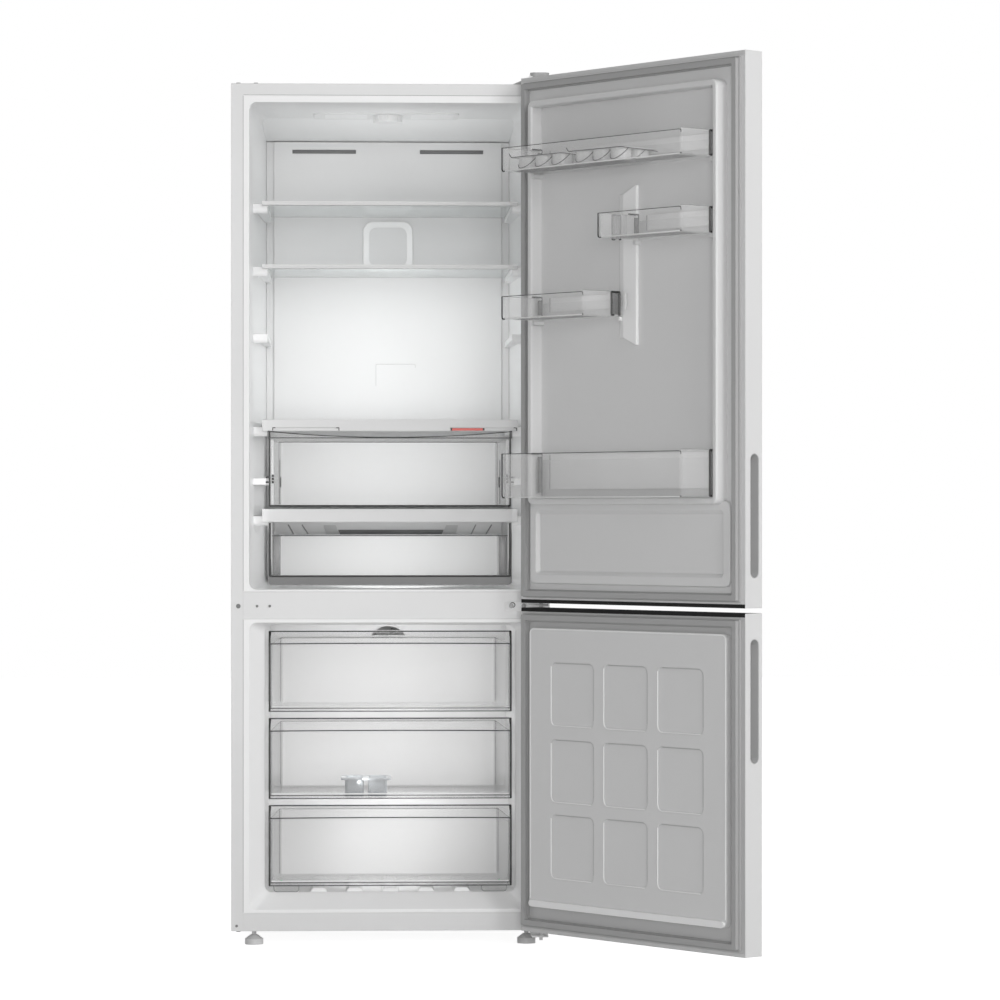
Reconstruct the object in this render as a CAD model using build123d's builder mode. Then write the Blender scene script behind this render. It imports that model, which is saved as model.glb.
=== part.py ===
"""Bottom-freezer refrigerator standing with both of its doors open.

Millimetres, +Z up, floor at Z = 0. The sizes of the cabinet are written from three natural faces: X from
the middle of the cabinet to the right, Y from its front face towards the back, Z from the floor. The
origin of the whole model is the floor point under the middle of the open refrigerator's footprint.
Each door has its own axes: along the door from its hinge edge, outward from its inner face, and Z.
"""

import os
from math import cos, radians, sin

from build123d import *

# ---------------------------------------------------------------- cabinet
cabinet_width = 700.0
half_width = cabinet_width / 2
cabinet_depth = 606.0
cabinet_bottom = 31.0
cabinet_top = 1892.0
wrap_sheet = 0.8
front_sheet = 2.0  # hemmed front return, rails and liner flanges share this thickness
front_return = 26.7
top_return = 25.4
back_sheet = 1.5
base_sheet = 1.5
liner_wall = 2.0
fit_gap = 0.3  # flat faces of pieces that move apart
hole_clearance = 0.1
running_clearance = 0.05

# front rails
mid_rail_low, mid_rail_high = 716.3, 776.4
bottom_rail_high = 70.6

# food spaces: front opening and back wall, as half width, low and high
space_back = cabinet_depth - 61.0
fridge_front = (half_width - 40.0, 781.0, cabinet_top - 41.5)
fridge_back = (half_width - 68.0, 786.0, cabinet_top - 41.5)
freezer_front = (half_width - 40.0, 78.4, 708.0)
freezer_throat = (half_width - 73.0, 112.0, 702.0)
freezer_back = (half_width - 78.0, 112.0, 698.0)
throat_depth = 45.0
space_corner = 16.0
panel_front = space_back - 25.0  # back panel of the refrigerator
air_cover_front = space_back - 77.0  # back cover of the freezer

# machine room, and the step of the freezer's floor over it
machine_front, machine_top = cabinet_depth - 231.0, 272.0
step_front, step_top = machine_front - 40.0, machine_top + 40.0

# freezer floor ribs
floor_rib_count = 5
floor_rib_pitch = 79.0
floor_rib_height = 9.0
floor_rib_base, floor_rib_crest = 40.0, 24.0
floor_rib_start, floor_rib_end = 58.0, step_front - 5.0

# ---------------------------------------------------------------- shelves and covers
glass_thickness = 4.0
shelf_tops = (cabinet_top - 252.0, cabinet_top - 392.0)
spare_support_top = cabinet_top - 545.0
shelf_half = half_width - 70.0
shelf_front, shelf_back = 95.0, panel_front - 15.0
shelf_trim_half = shelf_half + 4.0
shelf_trim_depth = 15.0
shelf_trim_height = 8.5
shelf_lip = 8.0
support_half = half_width - 78.0
support_height = 12.0
support_front, support_back = 108.0, panel_front - 5.0
support_knob = 9.0
cover_front, cover_back = 105.0, panel_front - 20.0
cover_bar = 20.0
cover_side_bar = 25.0
cover_side_height = 12.0
chill_cover_top, chill_cover_bottom = 1156.5, 1131.5
crisper_cover_top, crisper_cover_bottom = 958.0, 929.0

# back panel of the refrigerator
panel_relief = 4.0  # the raised middle stands this far before the edges
panel_sheet = 3.0
panel_half = half_width - 85.0
cove_front, cove_low = panel_front - 175.0, cabinet_top - 76.3  # the ceiling slopes down to the panel
panel_low, panel_top = 800.0, cove_low - 2.7
panel_rib_at = (5.0 - panel_half, -95.0, 95.0, panel_half - 5.0)
panel_rib_top = panel_top - 13.0
slot_from, slot_to = 74.4, 222.3
slot_height, slot_middle = 9.0, panel_top - 22.3
fan_cover_width, fan_cover_height = 116.0, 118.0
fan_cover_middle = cabinet_top - 323.0
fan_cover_thickness = 8.0
fan_cover_ring = 14.0
fan_cover_dish = 2.0
fan_cover_corner = 24.0

# ceiling housing with its lamp and dial
ceiling = fridge_front[2]
housing_left, housing_right = -171.0, 158.0
housing_front, housing_back = cove_front - 127.0, cove_front - 5.0
housing_thickness = 3.0
lens_from, lens_to = 50.0, 145.0
lens_margin = 15.0
lens_thickness = 1.5
dial_x, dial_y = -3.0, housing_front + 33.0
dial_radius, dial_height = 33.0, 16.0
dial_stub_radius, dial_stub_length = 5.0, 2.6
dial_grip = 1.6

# ---------------------------------------------------------------- drawers
drawer_wall = 2.5
drawer_corner = 12.0
chill_low, chill_high = 963.6, 1114.5
chill_front_half, chill_back_half = half_width - 82.0, half_width - 97.0
chill_back = panel_front - 65.0
chill_front_plate = 4.0
chill_lip_sag, chill_lip_height = 2.5, 15.8
chill_ear, chill_ear_width = 3.0, 7.0
runner_low, runner_high = 1012.0, 1026.0
runner_half = half_width - 75.0
runner_front, runner_back = cover_front + 7.0, chill_back - 5.0
rail_half = half_width - 71.0
rail_height = 4.0
crisper_low, crisper_high = 789.0, 928.0
crisper_window_high = 899.4
crisper_half = half_width - 79.0
crisper_frame_side, crisper_frame_bottom = 9.6, 20.7
crisper_frame_corner = 8.0
crisper_frame_depth = 9.0
crisper_back = panel_front - 80.0
crisper_back_half = half_width - 93.0
freezer_drawer_tops = (687.7, 495.2, 302.7)
freezer_drawer_names = ("top_freezer_drawer", "middle_freezer_drawer", "bottom_freezer_drawer")
freezer_drawer_height = 177.5
freezer_drawer_front = 50.0
freezer_drawer_half = half_width - 82.0
freezer_drawer_backs = (air_cover_front - 13.0, air_cover_front - 13.0, step_front - 15.0)
freezer_drawer_back_half = half_width - 100.0
freezer_lip_drop = 27.7
freezer_lip_lean = 9.0
freezer_sill_height = 6.5
drawer_foot_from, drawer_foot_to = half_width - 149.5, half_width - 92.0
drawer_foot_height, drawer_foot_depth, drawer_foot_corner = 12.9, 12.0, 5.0

# ice tray
ice_tray_left, ice_tray_right = -109.0, 2.0
ice_tray_front, ice_tray_back = 80.0, 190.0
ice_tray_height = 40.0
ice_tray_flange, ice_tray_wall = 9.0, 2.0
ice_tray_gap = 10.0
ice_tray_corner = 8.0

# humidity slider
slider_left, slider_length = half_width - 215.0, 75.0
slider_travel = 30.0
slider_middle = chill_cover_bottom + 3.7
slider_height, slider_thickness = 5.6, 2.5
groove_top = chill_cover_bottom + 7.5
groove_spans = ((half_width - 217.0, half_width - 68.0), (89.0 - half_width, 237.0 - half_width))

# ---------------------------------------------------------------- doors
open_angle = 128.4
door_width = cabinet_width
door_thickness = 50.8
door_gap = 15.0  # closed door's inner face to the cabinet's front face
door_sheet = 0.8
door_edge_radius = 5.0
cap_height = 8.0
door_liner_wall = 2.0
pin_from_side, pin_from_inner_face = 21.7, 38.9
pin_radius = 4.0
pin_engagement = 7.0
door_spans = {"upper": (753.0, cabinet_top + 6.0), "lower": (36.7, 742.5)}
grip_spans = {"upper": (816.0, 1069.6), "lower": (434.7, 688.3)}
grip_width, grip_depth, grip_wall = 22.0, 26.0, 1.5
grip_middle = 26.4
gasket_from, gasket_to = 12.0, 30.0
gasket_height, gasket_base = 13.5, 5.0
gasket_nose_inset = 3.0

# upper door's inner face
dyke_from_edge = 54.0
dyke_width, dyke_height = 14.0, 30.0
dyke_high = cabinet_top - 50.0
dyke_corner = 16.0
dyke_rounding = 4.0
sill_from_edge = 38.0
sill_low = 796.0
sill_width, sill_height = 26.0, 8.0
sill_chamfer, sill_rounding = 7.0, 3.0
sill_over_dyke = 7.0
post_from, post_to, post_slope = 318.0, 377.4, 20.0
post_low, post_high, post_slant = cabinet_top - 588.5, cabinet_top - 251.0, 17.0
post_height, post_ledge = 7.5, 14.0
post_slot_low, post_slot_high, post_slot_width = cabinet_top - 514.0, cabinet_top - 478.0, 5.0

# bins
bin_reach, bin_back = 115.0, 5.0
bin_wall = 2.4
bin_corner = 8.0
bin_end_gap = 2.0
bin_back_drop = 12.0
bins = {  # name: (from, to along the door, low, high)
    "top_bin": (70.0, door_width - 70.0, cabinet_top - 209.0, cabinet_top - 158.0),
    "upper_half_bin": (378.0, door_width - 70.0, cabinet_top - 367.5, cabinet_top - 316.0),
    "lower_half_bin": (70.0, 330.0, cabinet_top - 527.0, cabinet_top - 477.5),
    "bottom_bin": (70.0, door_width - 70.0, 981.0, 1076.0),
}
ledge_length, ledge_height = 8.0, 9.0
ledge_to = 28.0

# egg trays
egg_tray_starts = (93.0, 277.0)
egg_tray_length, egg_tray_depth = 169.0, 104.0
egg_tray_middle = 60.0
egg_tray_corner = 8.0
egg_tray_sheet, egg_tray_height = 2.0, 26.5
egg_cup_radius, egg_cup_wall = 20.0, 2.0
egg_cup_pitches = (54.0, 49.0)
egg_columns, egg_rows = 3, 2

# lower door's inner face
plate_from, plate_to = 42.0, door_width - 42.0
plate_low, plate_high = 95.0, 700.0
plate_height, plate_corner = 13.0, 14.0
ridge_from, ridge_to = 46.0, door_width - 46.0
ridge_top, ridge_height = 109.0, 19.0
dimple_spans_along = (
    (112.0, 251.0), (door_width / 2 - 69.0, door_width / 2 + 69.0), (door_width - 251.0, door_width - 111.0),
)
dimple_spans_up = ((159.0, 298.0), (324.0, 460.0), (489.0, 626.0))
dimple_depth, dimple_corner = 2.5, 16.0
plate_wall = 5.0

# ---------------------------------------------------------------- hinges, plugs and screws
leaf_thickness = 4.0
leaf_left, leaf_right = half_width - 50.0, half_width - 6.0
leaf_front = 66.0
mid_leaf_low = 745.7
mid_plate_left, mid_plate_low, mid_plate_high = half_width - 100.0, 733.0, 753.0
mid_plate_thickness, mid_plate_corner = 3.0, 8.0
rail_screws = (half_width - 85.0, half_width - 57.0)
rail_screw_height = 744.6
screw_radius, screw_head_radius, screw_head_height = 2.5, 5.0, 2.5
top_leaf_low = cabinet_top + 7.0
top_block_back = 60.0
top_cover_wall = 2.0
top_cover_outline = (  # from the right side of the cabinet, and over its top
    (80.0, 1.0), (42.0, 17.0), (12.0, 19.0), (4.0, 14.0),
)
top_knob_left, top_knob_right, top_knob_corner = half_width - 46.0, half_width - 4.0, 12.0
top_knob_rise = 19.0
top_cover_clearance = 0.5
bottom_leaf_low, bottom_leaf_left = 22.0, half_width - 42.0
bottom_pin_low = 15.0
top_plugs = (15.6 - half_width, 54.1 - half_width)
top_plug_y = 20.0
flange_plug = (16.0 - half_width, 744.6)
low_plug = (12.3 - half_width, 42.8)
plug_radius, plug_height = 5.0, 3.0
rail_plug_radius = 2.9

# ---------------------------------------------------------------- feet and rollers
foot_x, foot_y = half_width - 50.0, 30.0
foot_radius, foot_height = 20.2, 12.0
foot_neck_radius, foot_neck_top = 7.5, 21.5
foot_stem_radius, foot_stem_top = 5.0, 56.0
nut_radius, nut_top = 10.0, 60.0
roller_radius, roller_width = 14.0, 24.0
roller_x, roller_y = half_width - 80.0, cabinet_depth - 36.0
roller_stub_radius, roller_stub_length = 4.0, 5.0
cheek_thickness, cheek_half = 3.0, 12.0

# ---------------------------------------------------------------- freezer air and cold side
air_cover_sheet = 3.0
air_cover_half, air_cover_low, air_cover_high = half_width - 88.0, 340.0, 694.0
fan_middle = 640.0
grille_radius, grille_bars, grille_bar_width = 47.0, 7, 5.0
fan_radius, fan_hub_radius = 42.0, 14.0
fan_front, fan_thickness = air_cover_front + 10.0, 14.0
fan_blades = 5
fan_blade_sheet, fan_blade_angle = 2.0, 35.0
shaft_radius = 3.0
motor_front, motor_back, motor_radius = air_cover_front + 28.0, air_cover_front + 58.0, 26.0
evaporator_half, evaporator_low, evaporator_high = half_width - 130.0, 350.0, 570.0
evaporator_front, evaporator_back = air_cover_front + 14.0, space_back - 7.0
fin_pitch, fin_sheet = 20.0, 1.0
coil_radius, coil_rows = 4.0, 6

# ---------------------------------------------------------------- machine room contents
compressor_x, compressor_y = half_width - 240.0, cabinet_depth - 116.0
compressor_length, compressor_width, compressor_height = 190.0, 150.0, 150.0
compressor_foot_height, compressor_foot_sheet = 14.0, 4.0
compressor_rounding = 55.0
grommet_radius = 11.0
condenser_left, condenser_right = 25.0 - half_width, -60.0
condenser_y, condenser_low, condenser_high = cabinet_depth - 61.0, 75.0, 258.0
condenser_runs, condenser_tube = 7, 3.0
condenser_strip = 8.0
tray_left, tray_right = 30.0 - half_width, -70.0
tray_front, tray_back = machine_front + 15.0, cabinet_depth - 86.0
tray_height, tray_wall = 34.0, 2.0
box_left, box_right = half_width - 110.0, half_width - 10.0
box_front, box_back = cabinet_depth - 86.0, cabinet_depth - 10.0
box_low, box_high = 70.0, 170.0
inlet_width, inlet_height, inlet_depth = 27.0, 20.0, 16.0

# ---------------------------------------------------------------- axes of the model
turn = radians(open_angle)
along = Vector(-cos(turn), -sin(turn))
outward = Vector(sin(turn), -cos(turn))
pin_x = cabinet_width / 2 - pin_from_side
pin_y = -(door_gap + pin_from_inner_face)


def door_corner(from_hinge_edge, out):
    """Where a point of the open door lies, from the cabinet's middle and front face."""
    reach = along * (from_hinge_edge - pin_from_side) + outward * (out - pin_from_inner_face)
    return Vector(pin_x, pin_y) + reach


bin_end = max(end for start, end, low, high in bins.values())
right_reach = door_corner(door_width, door_thickness).X
front_reach = door_corner(bin_end, -bin_reach).Y
middle_x = (right_reach - cabinet_width / 2) / 2
middle_y = (cabinet_depth + front_reach) / 2
middle = Vector(middle_x, middle_y)
inner_half = cabinet_width / 2 - wrap_sheet
flange_half = cabinet_width / 2 - front_return


def level(z):
    """Seen from above: X to the right, Y to the back. Extrusions go up."""
    return Plane(origin=(-middle_x, -middle_y, z), z_dir=(0, 0, 1))


def upright(y):
    """Seen from the front: X to the right, Z up. Extrusions come forward."""
    return Plane(origin=(-middle_x, y - middle_y, 0), x_dir=(1, 0, 0), z_dir=(0, -1, 0))


def side(x):
    """Seen from the right: Y to the back, Z up. Extrusions go right."""
    return Plane(origin=(x - middle_x, -middle_y, 0), x_dir=(0, 1, 0), z_dir=(1, 0, 0))


def door_level(z):
    """Across the open door: along it, then outward. Extrusions go up."""
    start = door_corner(0, 0) - middle
    return Plane(origin=(start.X, start.Y, z), x_dir=along, z_dir=(0, 0, 1))


def door_face(inward):
    """The open door's inner side: along it, then Z. Extrusions go towards the food."""
    start = door_corner(0, -inward) - middle
    return Plane(origin=(start.X, start.Y, 0), x_dir=along, z_dir=-outward)


def door_section(from_hinge_edge):
    """A cut through the open door: outward, then Z. Extrusions go to the free edge."""
    start = door_corner(from_hinge_edge, 0) - middle
    return Plane(origin=(start.X, start.Y, 0), x_dir=outward, z_dir=along)


def save(piece, name):
    """Label the finished piece and write its STEP file."""
    piece.part.label = name
    export_step(piece.part, f"parts/{name}.step")


def bar(plane, span_a, span_b, amount, mode=Mode.ADD, radius=0.0):
    """Add or cut a straight block: its two spans lie on the plane, amount is its thickness."""
    (a_low, a_high), (b_low, b_high) = span_a, span_b
    with BuildSketch(plane) as outline:
        with Locations(((a_low + a_high) / 2, (b_low + b_high) / 2)):
            if radius:
                RectangleRounded(a_high - a_low, b_high - b_low, radius)
            else:
                Rectangle(a_high - a_low, b_high - b_low)
    extrude(outline.sketch, amount=amount, mode=mode)


def disc(plane, a, b, radius, amount, mode=Mode.ADD):
    """Add or cut a cylinder that stands on the plane."""
    with BuildSketch(plane) as outline:
        with Locations((a, b)):
            Circle(radius)
    extrude(outline.sketch, amount=amount, mode=mode)


def prism(plane, points, amount, mode=Mode.ADD):
    """Add or cut a straight block with a polygon outline."""
    with BuildSketch(plane) as outline:
        with BuildLine():
            Polyline(*points, close=True)
        make_face()
    extrude(outline.sketch, amount=amount, mode=mode)


# ---------------------------------------------------------------- food spaces
def funnel(stations, grow):
    """A space that changes size from station to station; each is depth, (half width, low, high)."""
    with BuildPart() as space:
        for (near, near_size), (far, far_size) in zip(stations, stations[1:]):
            faces = []
            for depth, (half, low, high) in ((near, near_size), (far, far_size)):
                with BuildSketch(upright(depth)) as section:
                    with Locations((0, (low + high) / 2)):
                        RectangleRounded(2 * (half + grow), high - low + 2 * grow, space_corner + grow)
                faces.append(section.sketch)
            loft(faces, ruled=True)
    return space.part


def fridge_space(grow):
    """The refrigerator's inside, with its walls moved outward by grow; its ceiling slopes at the back."""
    whole = funnel([(0.0, fridge_front), (space_back + grow, fridge_back)], grow)
    slope = Vector(panel_front - cove_front, cove_low - fridge_front[2]).normalized()
    start = Vector(cove_front, fridge_front[2]) + Vector(-slope.Y, slope.X) * grow
    near, far = start - slope * space_corner, start + slope * space_back
    with BuildPart() as coved:
        add(whole)
        above = [(near.X, near.Y), (far.X, far.Y), (far.X, cabinet_top), (near.X, cabinet_top)]
        prism(side(-inner_half), above, 2 * inner_half, Mode.SUBTRACT)
    return coved.part


def freezer_space(grow):
    """The freezer's inside, with its walls moved outward by grow, stepped over the machine room."""
    stations = [(0.0, freezer_front), (throat_depth, freezer_throat), (space_back + grow, freezer_back)]
    whole = funnel(stations, grow)
    with BuildPart() as stepped:
        add(whole)
        behind = cabinet_depth - step_front - grow
        bar(upright(cabinet_depth), (-inner_half, inner_half), (0.0, step_top - grow), behind, Mode.SUBTRACT)
    return stepped.part


def fridge_wall(depth):
    """Half the width between the refrigerator's side walls at this depth."""
    share = depth / space_back
    return fridge_front[0] + (fridge_back[0] - fridge_front[0]) * share


fridge_inside = fridge_space(0.0)
fridge_outside = fridge_space(liner_wall)
freezer_inside = freezer_space(0.0)
freezer_outside = freezer_space(liner_wall)
chill_side_top = chill_cover_top - glass_thickness
crisper_side_top = crisper_cover_top - glass_thickness
chill_support = chill_side_top - cover_side_height
crisper_support = crisper_side_top - cover_side_height
cover_glass_front = cover_front + cover_bar
cover_support_front = cover_glass_front + fit_gap
supports_at = [(support_front, top - glass_thickness) for top in shelf_tops]
supports_at += [(support_front, spare_support_top)]
supports_at += [(cover_support_front, chill_support), (cover_support_front, crisper_support)]

with BuildPart() as supports:
    for start, top in supports_at:
        for sign in (-1, 1):
            plane = side(sign * support_half)
            reach = sign * (fridge_front[0] - support_half)
            bar(plane, (start, support_back), (top - support_height, top), reach)
            disc(plane, start + support_knob, top - support_height, support_knob, reach)
    add(fridge_outside, mode=Mode.INTERSECT)

with BuildPart() as fridge_liner:
    add(fridge_outside)
    flange_z = (mid_rail_high, cabinet_top - top_return)
    bar(upright(front_sheet), (-flange_half, flange_half), flange_z, front_sheet)
    add(fridge_inside, mode=Mode.SUBTRACT)
    add(supports.part)
save(fridge_liner, "fridge_liner")

with BuildPart() as freezer_liner:
    add(freezer_outside)
    bar(upright(front_sheet), (-flange_half, flange_half), (bottom_rail_high, mid_rail_low), front_sheet)
    add(freezer_inside, mode=Mode.SUBTRACT)
    floor = freezer_throat[1]
    for number in range(floor_rib_count):
        x = (number - (floor_rib_count - 1) / 2) * floor_rib_pitch
        half_base, half_crest = floor_rib_base / 2, floor_rib_crest / 2
        crest = floor + floor_rib_height
        foot = floor - liner_wall / 2
        points = [
            (x - half_base, foot), (x + half_base, foot), (x + half_crest, crest), (x - half_crest, crest),
        ]
        prism(upright(floor_rib_end), points, floor_rib_end - floor_rib_start)
save(freezer_liner, "freezer_liner")

# ---------------------------------------------------------------- cabinet shell
with BuildPart() as outer_wrap:
    whole_width = (-cabinet_width / 2, cabinet_width / 2)
    bar(upright(cabinet_depth), whole_width, (cabinet_bottom, cabinet_top), cabinet_depth)
    under_top = cabinet_top - wrap_sheet
    bar(
        upright(cabinet_depth), (-inner_half, inner_half), (cabinet_bottom, under_top),
        cabinet_depth - front_sheet, Mode.SUBTRACT,
    )
    opening_top = cabinet_top - top_return
    bar(
        upright(front_sheet), (-flange_half, flange_half), (cabinet_bottom, opening_top),
        front_sheet, Mode.SUBTRACT,
    )
save(outer_wrap, "outer_wrap")

with BuildPart() as back_plate:
    back_half = inner_half - hole_clearance
    span = (machine_top, under_top - hole_clearance)
    bar(upright(cabinet_depth), (-back_half, back_half), span, back_sheet)
save(back_plate, "back_plate")

with BuildPart() as front_rails:
    rail_span = (-flange_half, flange_half)
    bar(upright(front_sheet), rail_span, (mid_rail_low, mid_rail_high), front_sheet)
    bar(upright(front_sheet), rail_span, (cabinet_bottom, bottom_rail_high), front_sheet)
    for x in rail_screws:
        for sign in (-1, 1):
            hole = screw_radius + hole_clearance
            disc(upright(front_sheet), sign * x, rail_screw_height, hole, front_sheet, Mode.SUBTRACT)
save(front_rails, "front_rails")

base_back = cabinet_depth - back_sheet
floor_plate_top = cabinet_bottom + base_sheet
with BuildPart() as base_frame:
    base_span = (-inner_half, inner_half)
    bar(level(cabinet_bottom), base_span, (front_sheet, base_back), base_sheet)
    riser_back = machine_front + base_sheet
    bar(level(cabinet_bottom), base_span, (machine_front, riser_back), machine_top - cabinet_bottom)
    bar(level(machine_top - base_sheet), base_span, (machine_front, base_back), base_sheet)
    for sign in (-1, 1):
        disc(level(cabinet_bottom), sign * foot_x, foot_y, nut_radius, nut_top - cabinet_bottom)
        stem_hole = foot_stem_radius + running_clearance
        disc(level(cabinet_bottom), sign * foot_x, foot_y, stem_hole, nut_top - cabinet_bottom, Mode.SUBTRACT)
        for edge in (-1, 1):
            inner_cheek = sign * roller_x + edge * (roller_width / 2 + fit_gap)
            cheek_y = (roller_y - cheek_half, roller_y + cheek_half)
            cheek_z = (roller_radius - cheek_half / 2, cabinet_bottom)
            bar(side(inner_cheek), cheek_y, cheek_z, edge * cheek_thickness)
            stub_hole = roller_stub_radius + running_clearance
            disc(side(inner_cheek), roller_y, roller_radius, stub_hole, edge * cheek_thickness, Mode.SUBTRACT)
save(base_frame, "base_frame")

# the foam is a set of blocks with fine joints, in the outline of the one real casting
with BuildPart() as cabinet_foam:
    foam_top = under_top
    block = (floor_plate_top, foam_top)
    bar(upright(base_back), (-inner_half, inner_half), block, base_back - front_sheet)
    room = (cabinet_bottom, machine_top)
    bar(upright(base_back), (-inner_half, inner_half), room, base_back - machine_front, Mode.SUBTRACT)
    add(fridge_outside, mode=Mode.SUBTRACT)
    add(freezer_outside, mode=Mode.SUBTRACT)
    for sign in (-1, 1):
        nut_height = nut_top - floor_plate_top
        disc(level(floor_plate_top), sign * foot_x, foot_y, nut_radius, nut_height, Mode.SUBTRACT)
        beside = fridge_front[0] + liner_wall + fit_gap
        joint_x = sorted((sign * beside, sign * (beside + fit_gap)))
        bar(level(floor_plate_top), joint_x, (0.0, base_back), foam_top - floor_plate_top, Mode.SUBTRACT)
        narrow = fridge_back[0] + liner_wall + fit_gap
        joint_x = sorted((sign * narrow, sign * (narrow + fit_gap)))
        inside_z = fridge_front[1], fridge_front[2]
        bar(level(inside_z[0]), joint_x, (0.0, base_back), inside_z[1] - inside_z[0], Mode.SUBTRACT)
    between = (-beside, beside)
    behind_liners = space_back + liner_wall + fit_gap
    bar(upright(behind_liners + fit_gap), between, (machine_top, foam_top), fit_gap, Mode.SUBTRACT)
    bar(level(machine_top), (-inner_half, inner_half), (0.0, base_back), fit_gap, Mode.SUBTRACT)
    over_fridge, under_fridge = fridge_front[2] + liner_wall, fridge_front[1] - liner_wall - 2 * fit_gap
    over_freezer, under_freezer = freezer_front[2] + liner_wall, freezer_front[1] - liner_wall - 2 * fit_gap
    low_ceiling, high_floor = freezer_back[2] - fit_gap, freezer_throat[1] + fit_gap
    joints_z = (over_fridge, fridge_back[1], under_fridge, over_freezer, low_ceiling)
    for z in joints_z + (step_top + fit_gap, high_floor, under_freezer):
        bar(level(z), between, (0.0, behind_liners), fit_gap, Mode.SUBTRACT)
    bar(upright(step_front), between, (under_freezer, step_top), fit_gap, Mode.SUBTRACT)
save(cabinet_foam, "cabinet_foam")

# ---------------------------------------------------------------- refrigerator fittings
with BuildPart() as fridge_back_panel:
    sheet_front, sheet_back = panel_front + panel_relief, panel_front + panel_relief + panel_sheet
    sheet_half = fridge_wall(sheet_back) - fit_gap
    panel_rise = (panel_low, panel_top)
    bar(upright(sheet_back), (-sheet_half, sheet_half), panel_rise, panel_sheet)
    bar(upright(sheet_front), (-panel_half, panel_half), panel_rise, panel_relief)
    for x in panel_rib_at:
        rib_x = (x - panel_sheet / 2, x + panel_sheet / 2)
        bar(level(panel_low), rib_x, (sheet_back, space_back), panel_rib_top - panel_low)
    for span in ((slot_from, slot_to), (-slot_to, -slot_from)):
        slot_z = (slot_middle - slot_height / 2, slot_middle + slot_height / 2)
        bar(upright(panel_front), span, slot_z, panel_front - sheet_back, Mode.SUBTRACT)
save(fridge_back_panel, "fridge_back_panel")

with BuildPart() as fan_cover:
    half_w, half_h = fan_cover_width / 2, fan_cover_height / 2
    cover_z = (fan_cover_middle - half_h, fan_cover_middle + half_h)
    bar(upright(panel_front), (-half_w, half_w), cover_z, fan_cover_thickness, radius=fan_cover_corner)
    fillet(fan_cover.faces().sort_by(Axis.Y)[0].edges(), radius=fan_cover_dish)
    dish_z = (cover_z[0] + fan_cover_ring, cover_z[1] - fan_cover_ring)
    dish_x = (-half_w + fan_cover_ring, half_w - fan_cover_ring)
    dish = upright(panel_front - fan_cover_thickness + fan_cover_dish)
    bar(dish, dish_x, dish_z, fan_cover_dish, Mode.SUBTRACT, radius=fan_cover_corner - fan_cover_ring / 2)
save(fan_cover, "fan_cover")

housing_bottom = ceiling - housing_thickness
with BuildPart() as ceiling_housing:
    depth_span = (housing_front, housing_back)
    width_span = (housing_left, housing_right)
    bar(level(housing_bottom), width_span, depth_span, housing_thickness, radius=space_corner)
    chamfer(ceiling_housing.faces().sort_by(Axis.Z)[0].edges(), length=housing_thickness / 2)
    lens_depth = (housing_front + lens_margin, housing_back - lens_margin)
    for span in ((lens_from, lens_to), (-lens_to, -lens_from)):
        bar(level(housing_bottom), span, lens_depth, lens_thickness, Mode.SUBTRACT)
    stub_hole = dial_stub_radius + running_clearance
    disc(level(housing_bottom), dial_x, dial_y, stub_hole, housing_thickness, Mode.SUBTRACT)
save(ceiling_housing, "ceiling_housing")

with BuildPart() as lamp_lens:
    for span in ((lens_from, lens_to), (-lens_to, -lens_from)):
        bar(level(housing_bottom), span, lens_depth, lens_thickness)
save(lamp_lens, "lamp_lens")

dial_top = housing_bottom - fit_gap
with BuildPart() as temperature_dial:
    disc(level(dial_top - dial_height), dial_x, dial_y, dial_radius, dial_height)
    fillet(temperature_dial.faces().sort_by(Axis.Z)[0].edges(), radius=dial_grip)
    disc(level(dial_top), dial_x, dial_y, dial_stub_radius, fit_gap + dial_stub_length)
    for angle in (-40, 0, 40):
        mark_x = dial_x + dial_radius * sin(radians(angle))
        mark_y = dial_y - dial_radius * cos(radians(angle))
        disc(level(dial_top - dial_height), mark_x, mark_y, dial_grip, dial_height - dial_grip, Mode.SUBTRACT)
save(temperature_dial, "temperature_dial")

with BuildPart() as shelf_glasses:
    for top in shelf_tops:
        glass_y = (shelf_front, shelf_back)
        bar(level(top - glass_thickness), (-shelf_half, shelf_half), glass_y, glass_thickness)
save(shelf_glasses, "shelf_glasses")

with BuildPart() as shelf_trims:
    for top in shelf_tops:
        trim_front = shelf_front - shelf_trim_depth
        points = [
            (trim_front, top - shelf_trim_height), (shelf_front + shelf_lip, top - shelf_trim_height),
            (shelf_front + shelf_lip, top - glass_thickness), (shelf_front, top - glass_thickness),
            (shelf_front, top), (trim_front, top),
        ]
        prism(side(-shelf_trim_half), points, 2 * shelf_trim_half)
save(shelf_trims, "shelf_trims")

with BuildPart() as cover_glasses:
    for side_top in (chill_side_top, crisper_side_top):
        bar(level(side_top), (-shelf_half, shelf_half), (cover_glass_front, cover_back), glass_thickness)
save(cover_glasses, "cover_glasses")


def cover_frame(bottom, top):
    """The white frame round a glass pane that closes a drawer from above."""
    with BuildPart() as frame:
        side_low = top - glass_thickness - cover_side_height
        bar_x = (-shelf_trim_half, shelf_trim_half)
        bar(level(bottom), bar_x, (cover_front, cover_glass_front), top - bottom)
        for sign in (-1, 1):
            span = sorted((sign * shelf_half, sign * (shelf_half - cover_side_bar)))
            bar(level(side_low), span, (cover_glass_front, cover_back), cover_side_height)
        back_bar = (cover_back - cover_side_bar, cover_back)
        bar(level(side_low), (-shelf_half, shelf_half), back_bar, cover_side_height)
    return frame.part


chill_frame_raw = cover_frame(chill_cover_bottom, chill_cover_top)
crisper_frame_raw = cover_frame(crisper_cover_bottom, crisper_cover_top)
with BuildPart() as chill_cover_frame:
    add(chill_frame_raw)
    groove_depth = slider_thickness + fit_gap
    for groove_x in groove_spans:
        bar(upright(cover_front), groove_x, (chill_cover_bottom, groove_top), -groove_depth, Mode.SUBTRACT)
save(chill_cover_frame, "chill_cover_frame")

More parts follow.
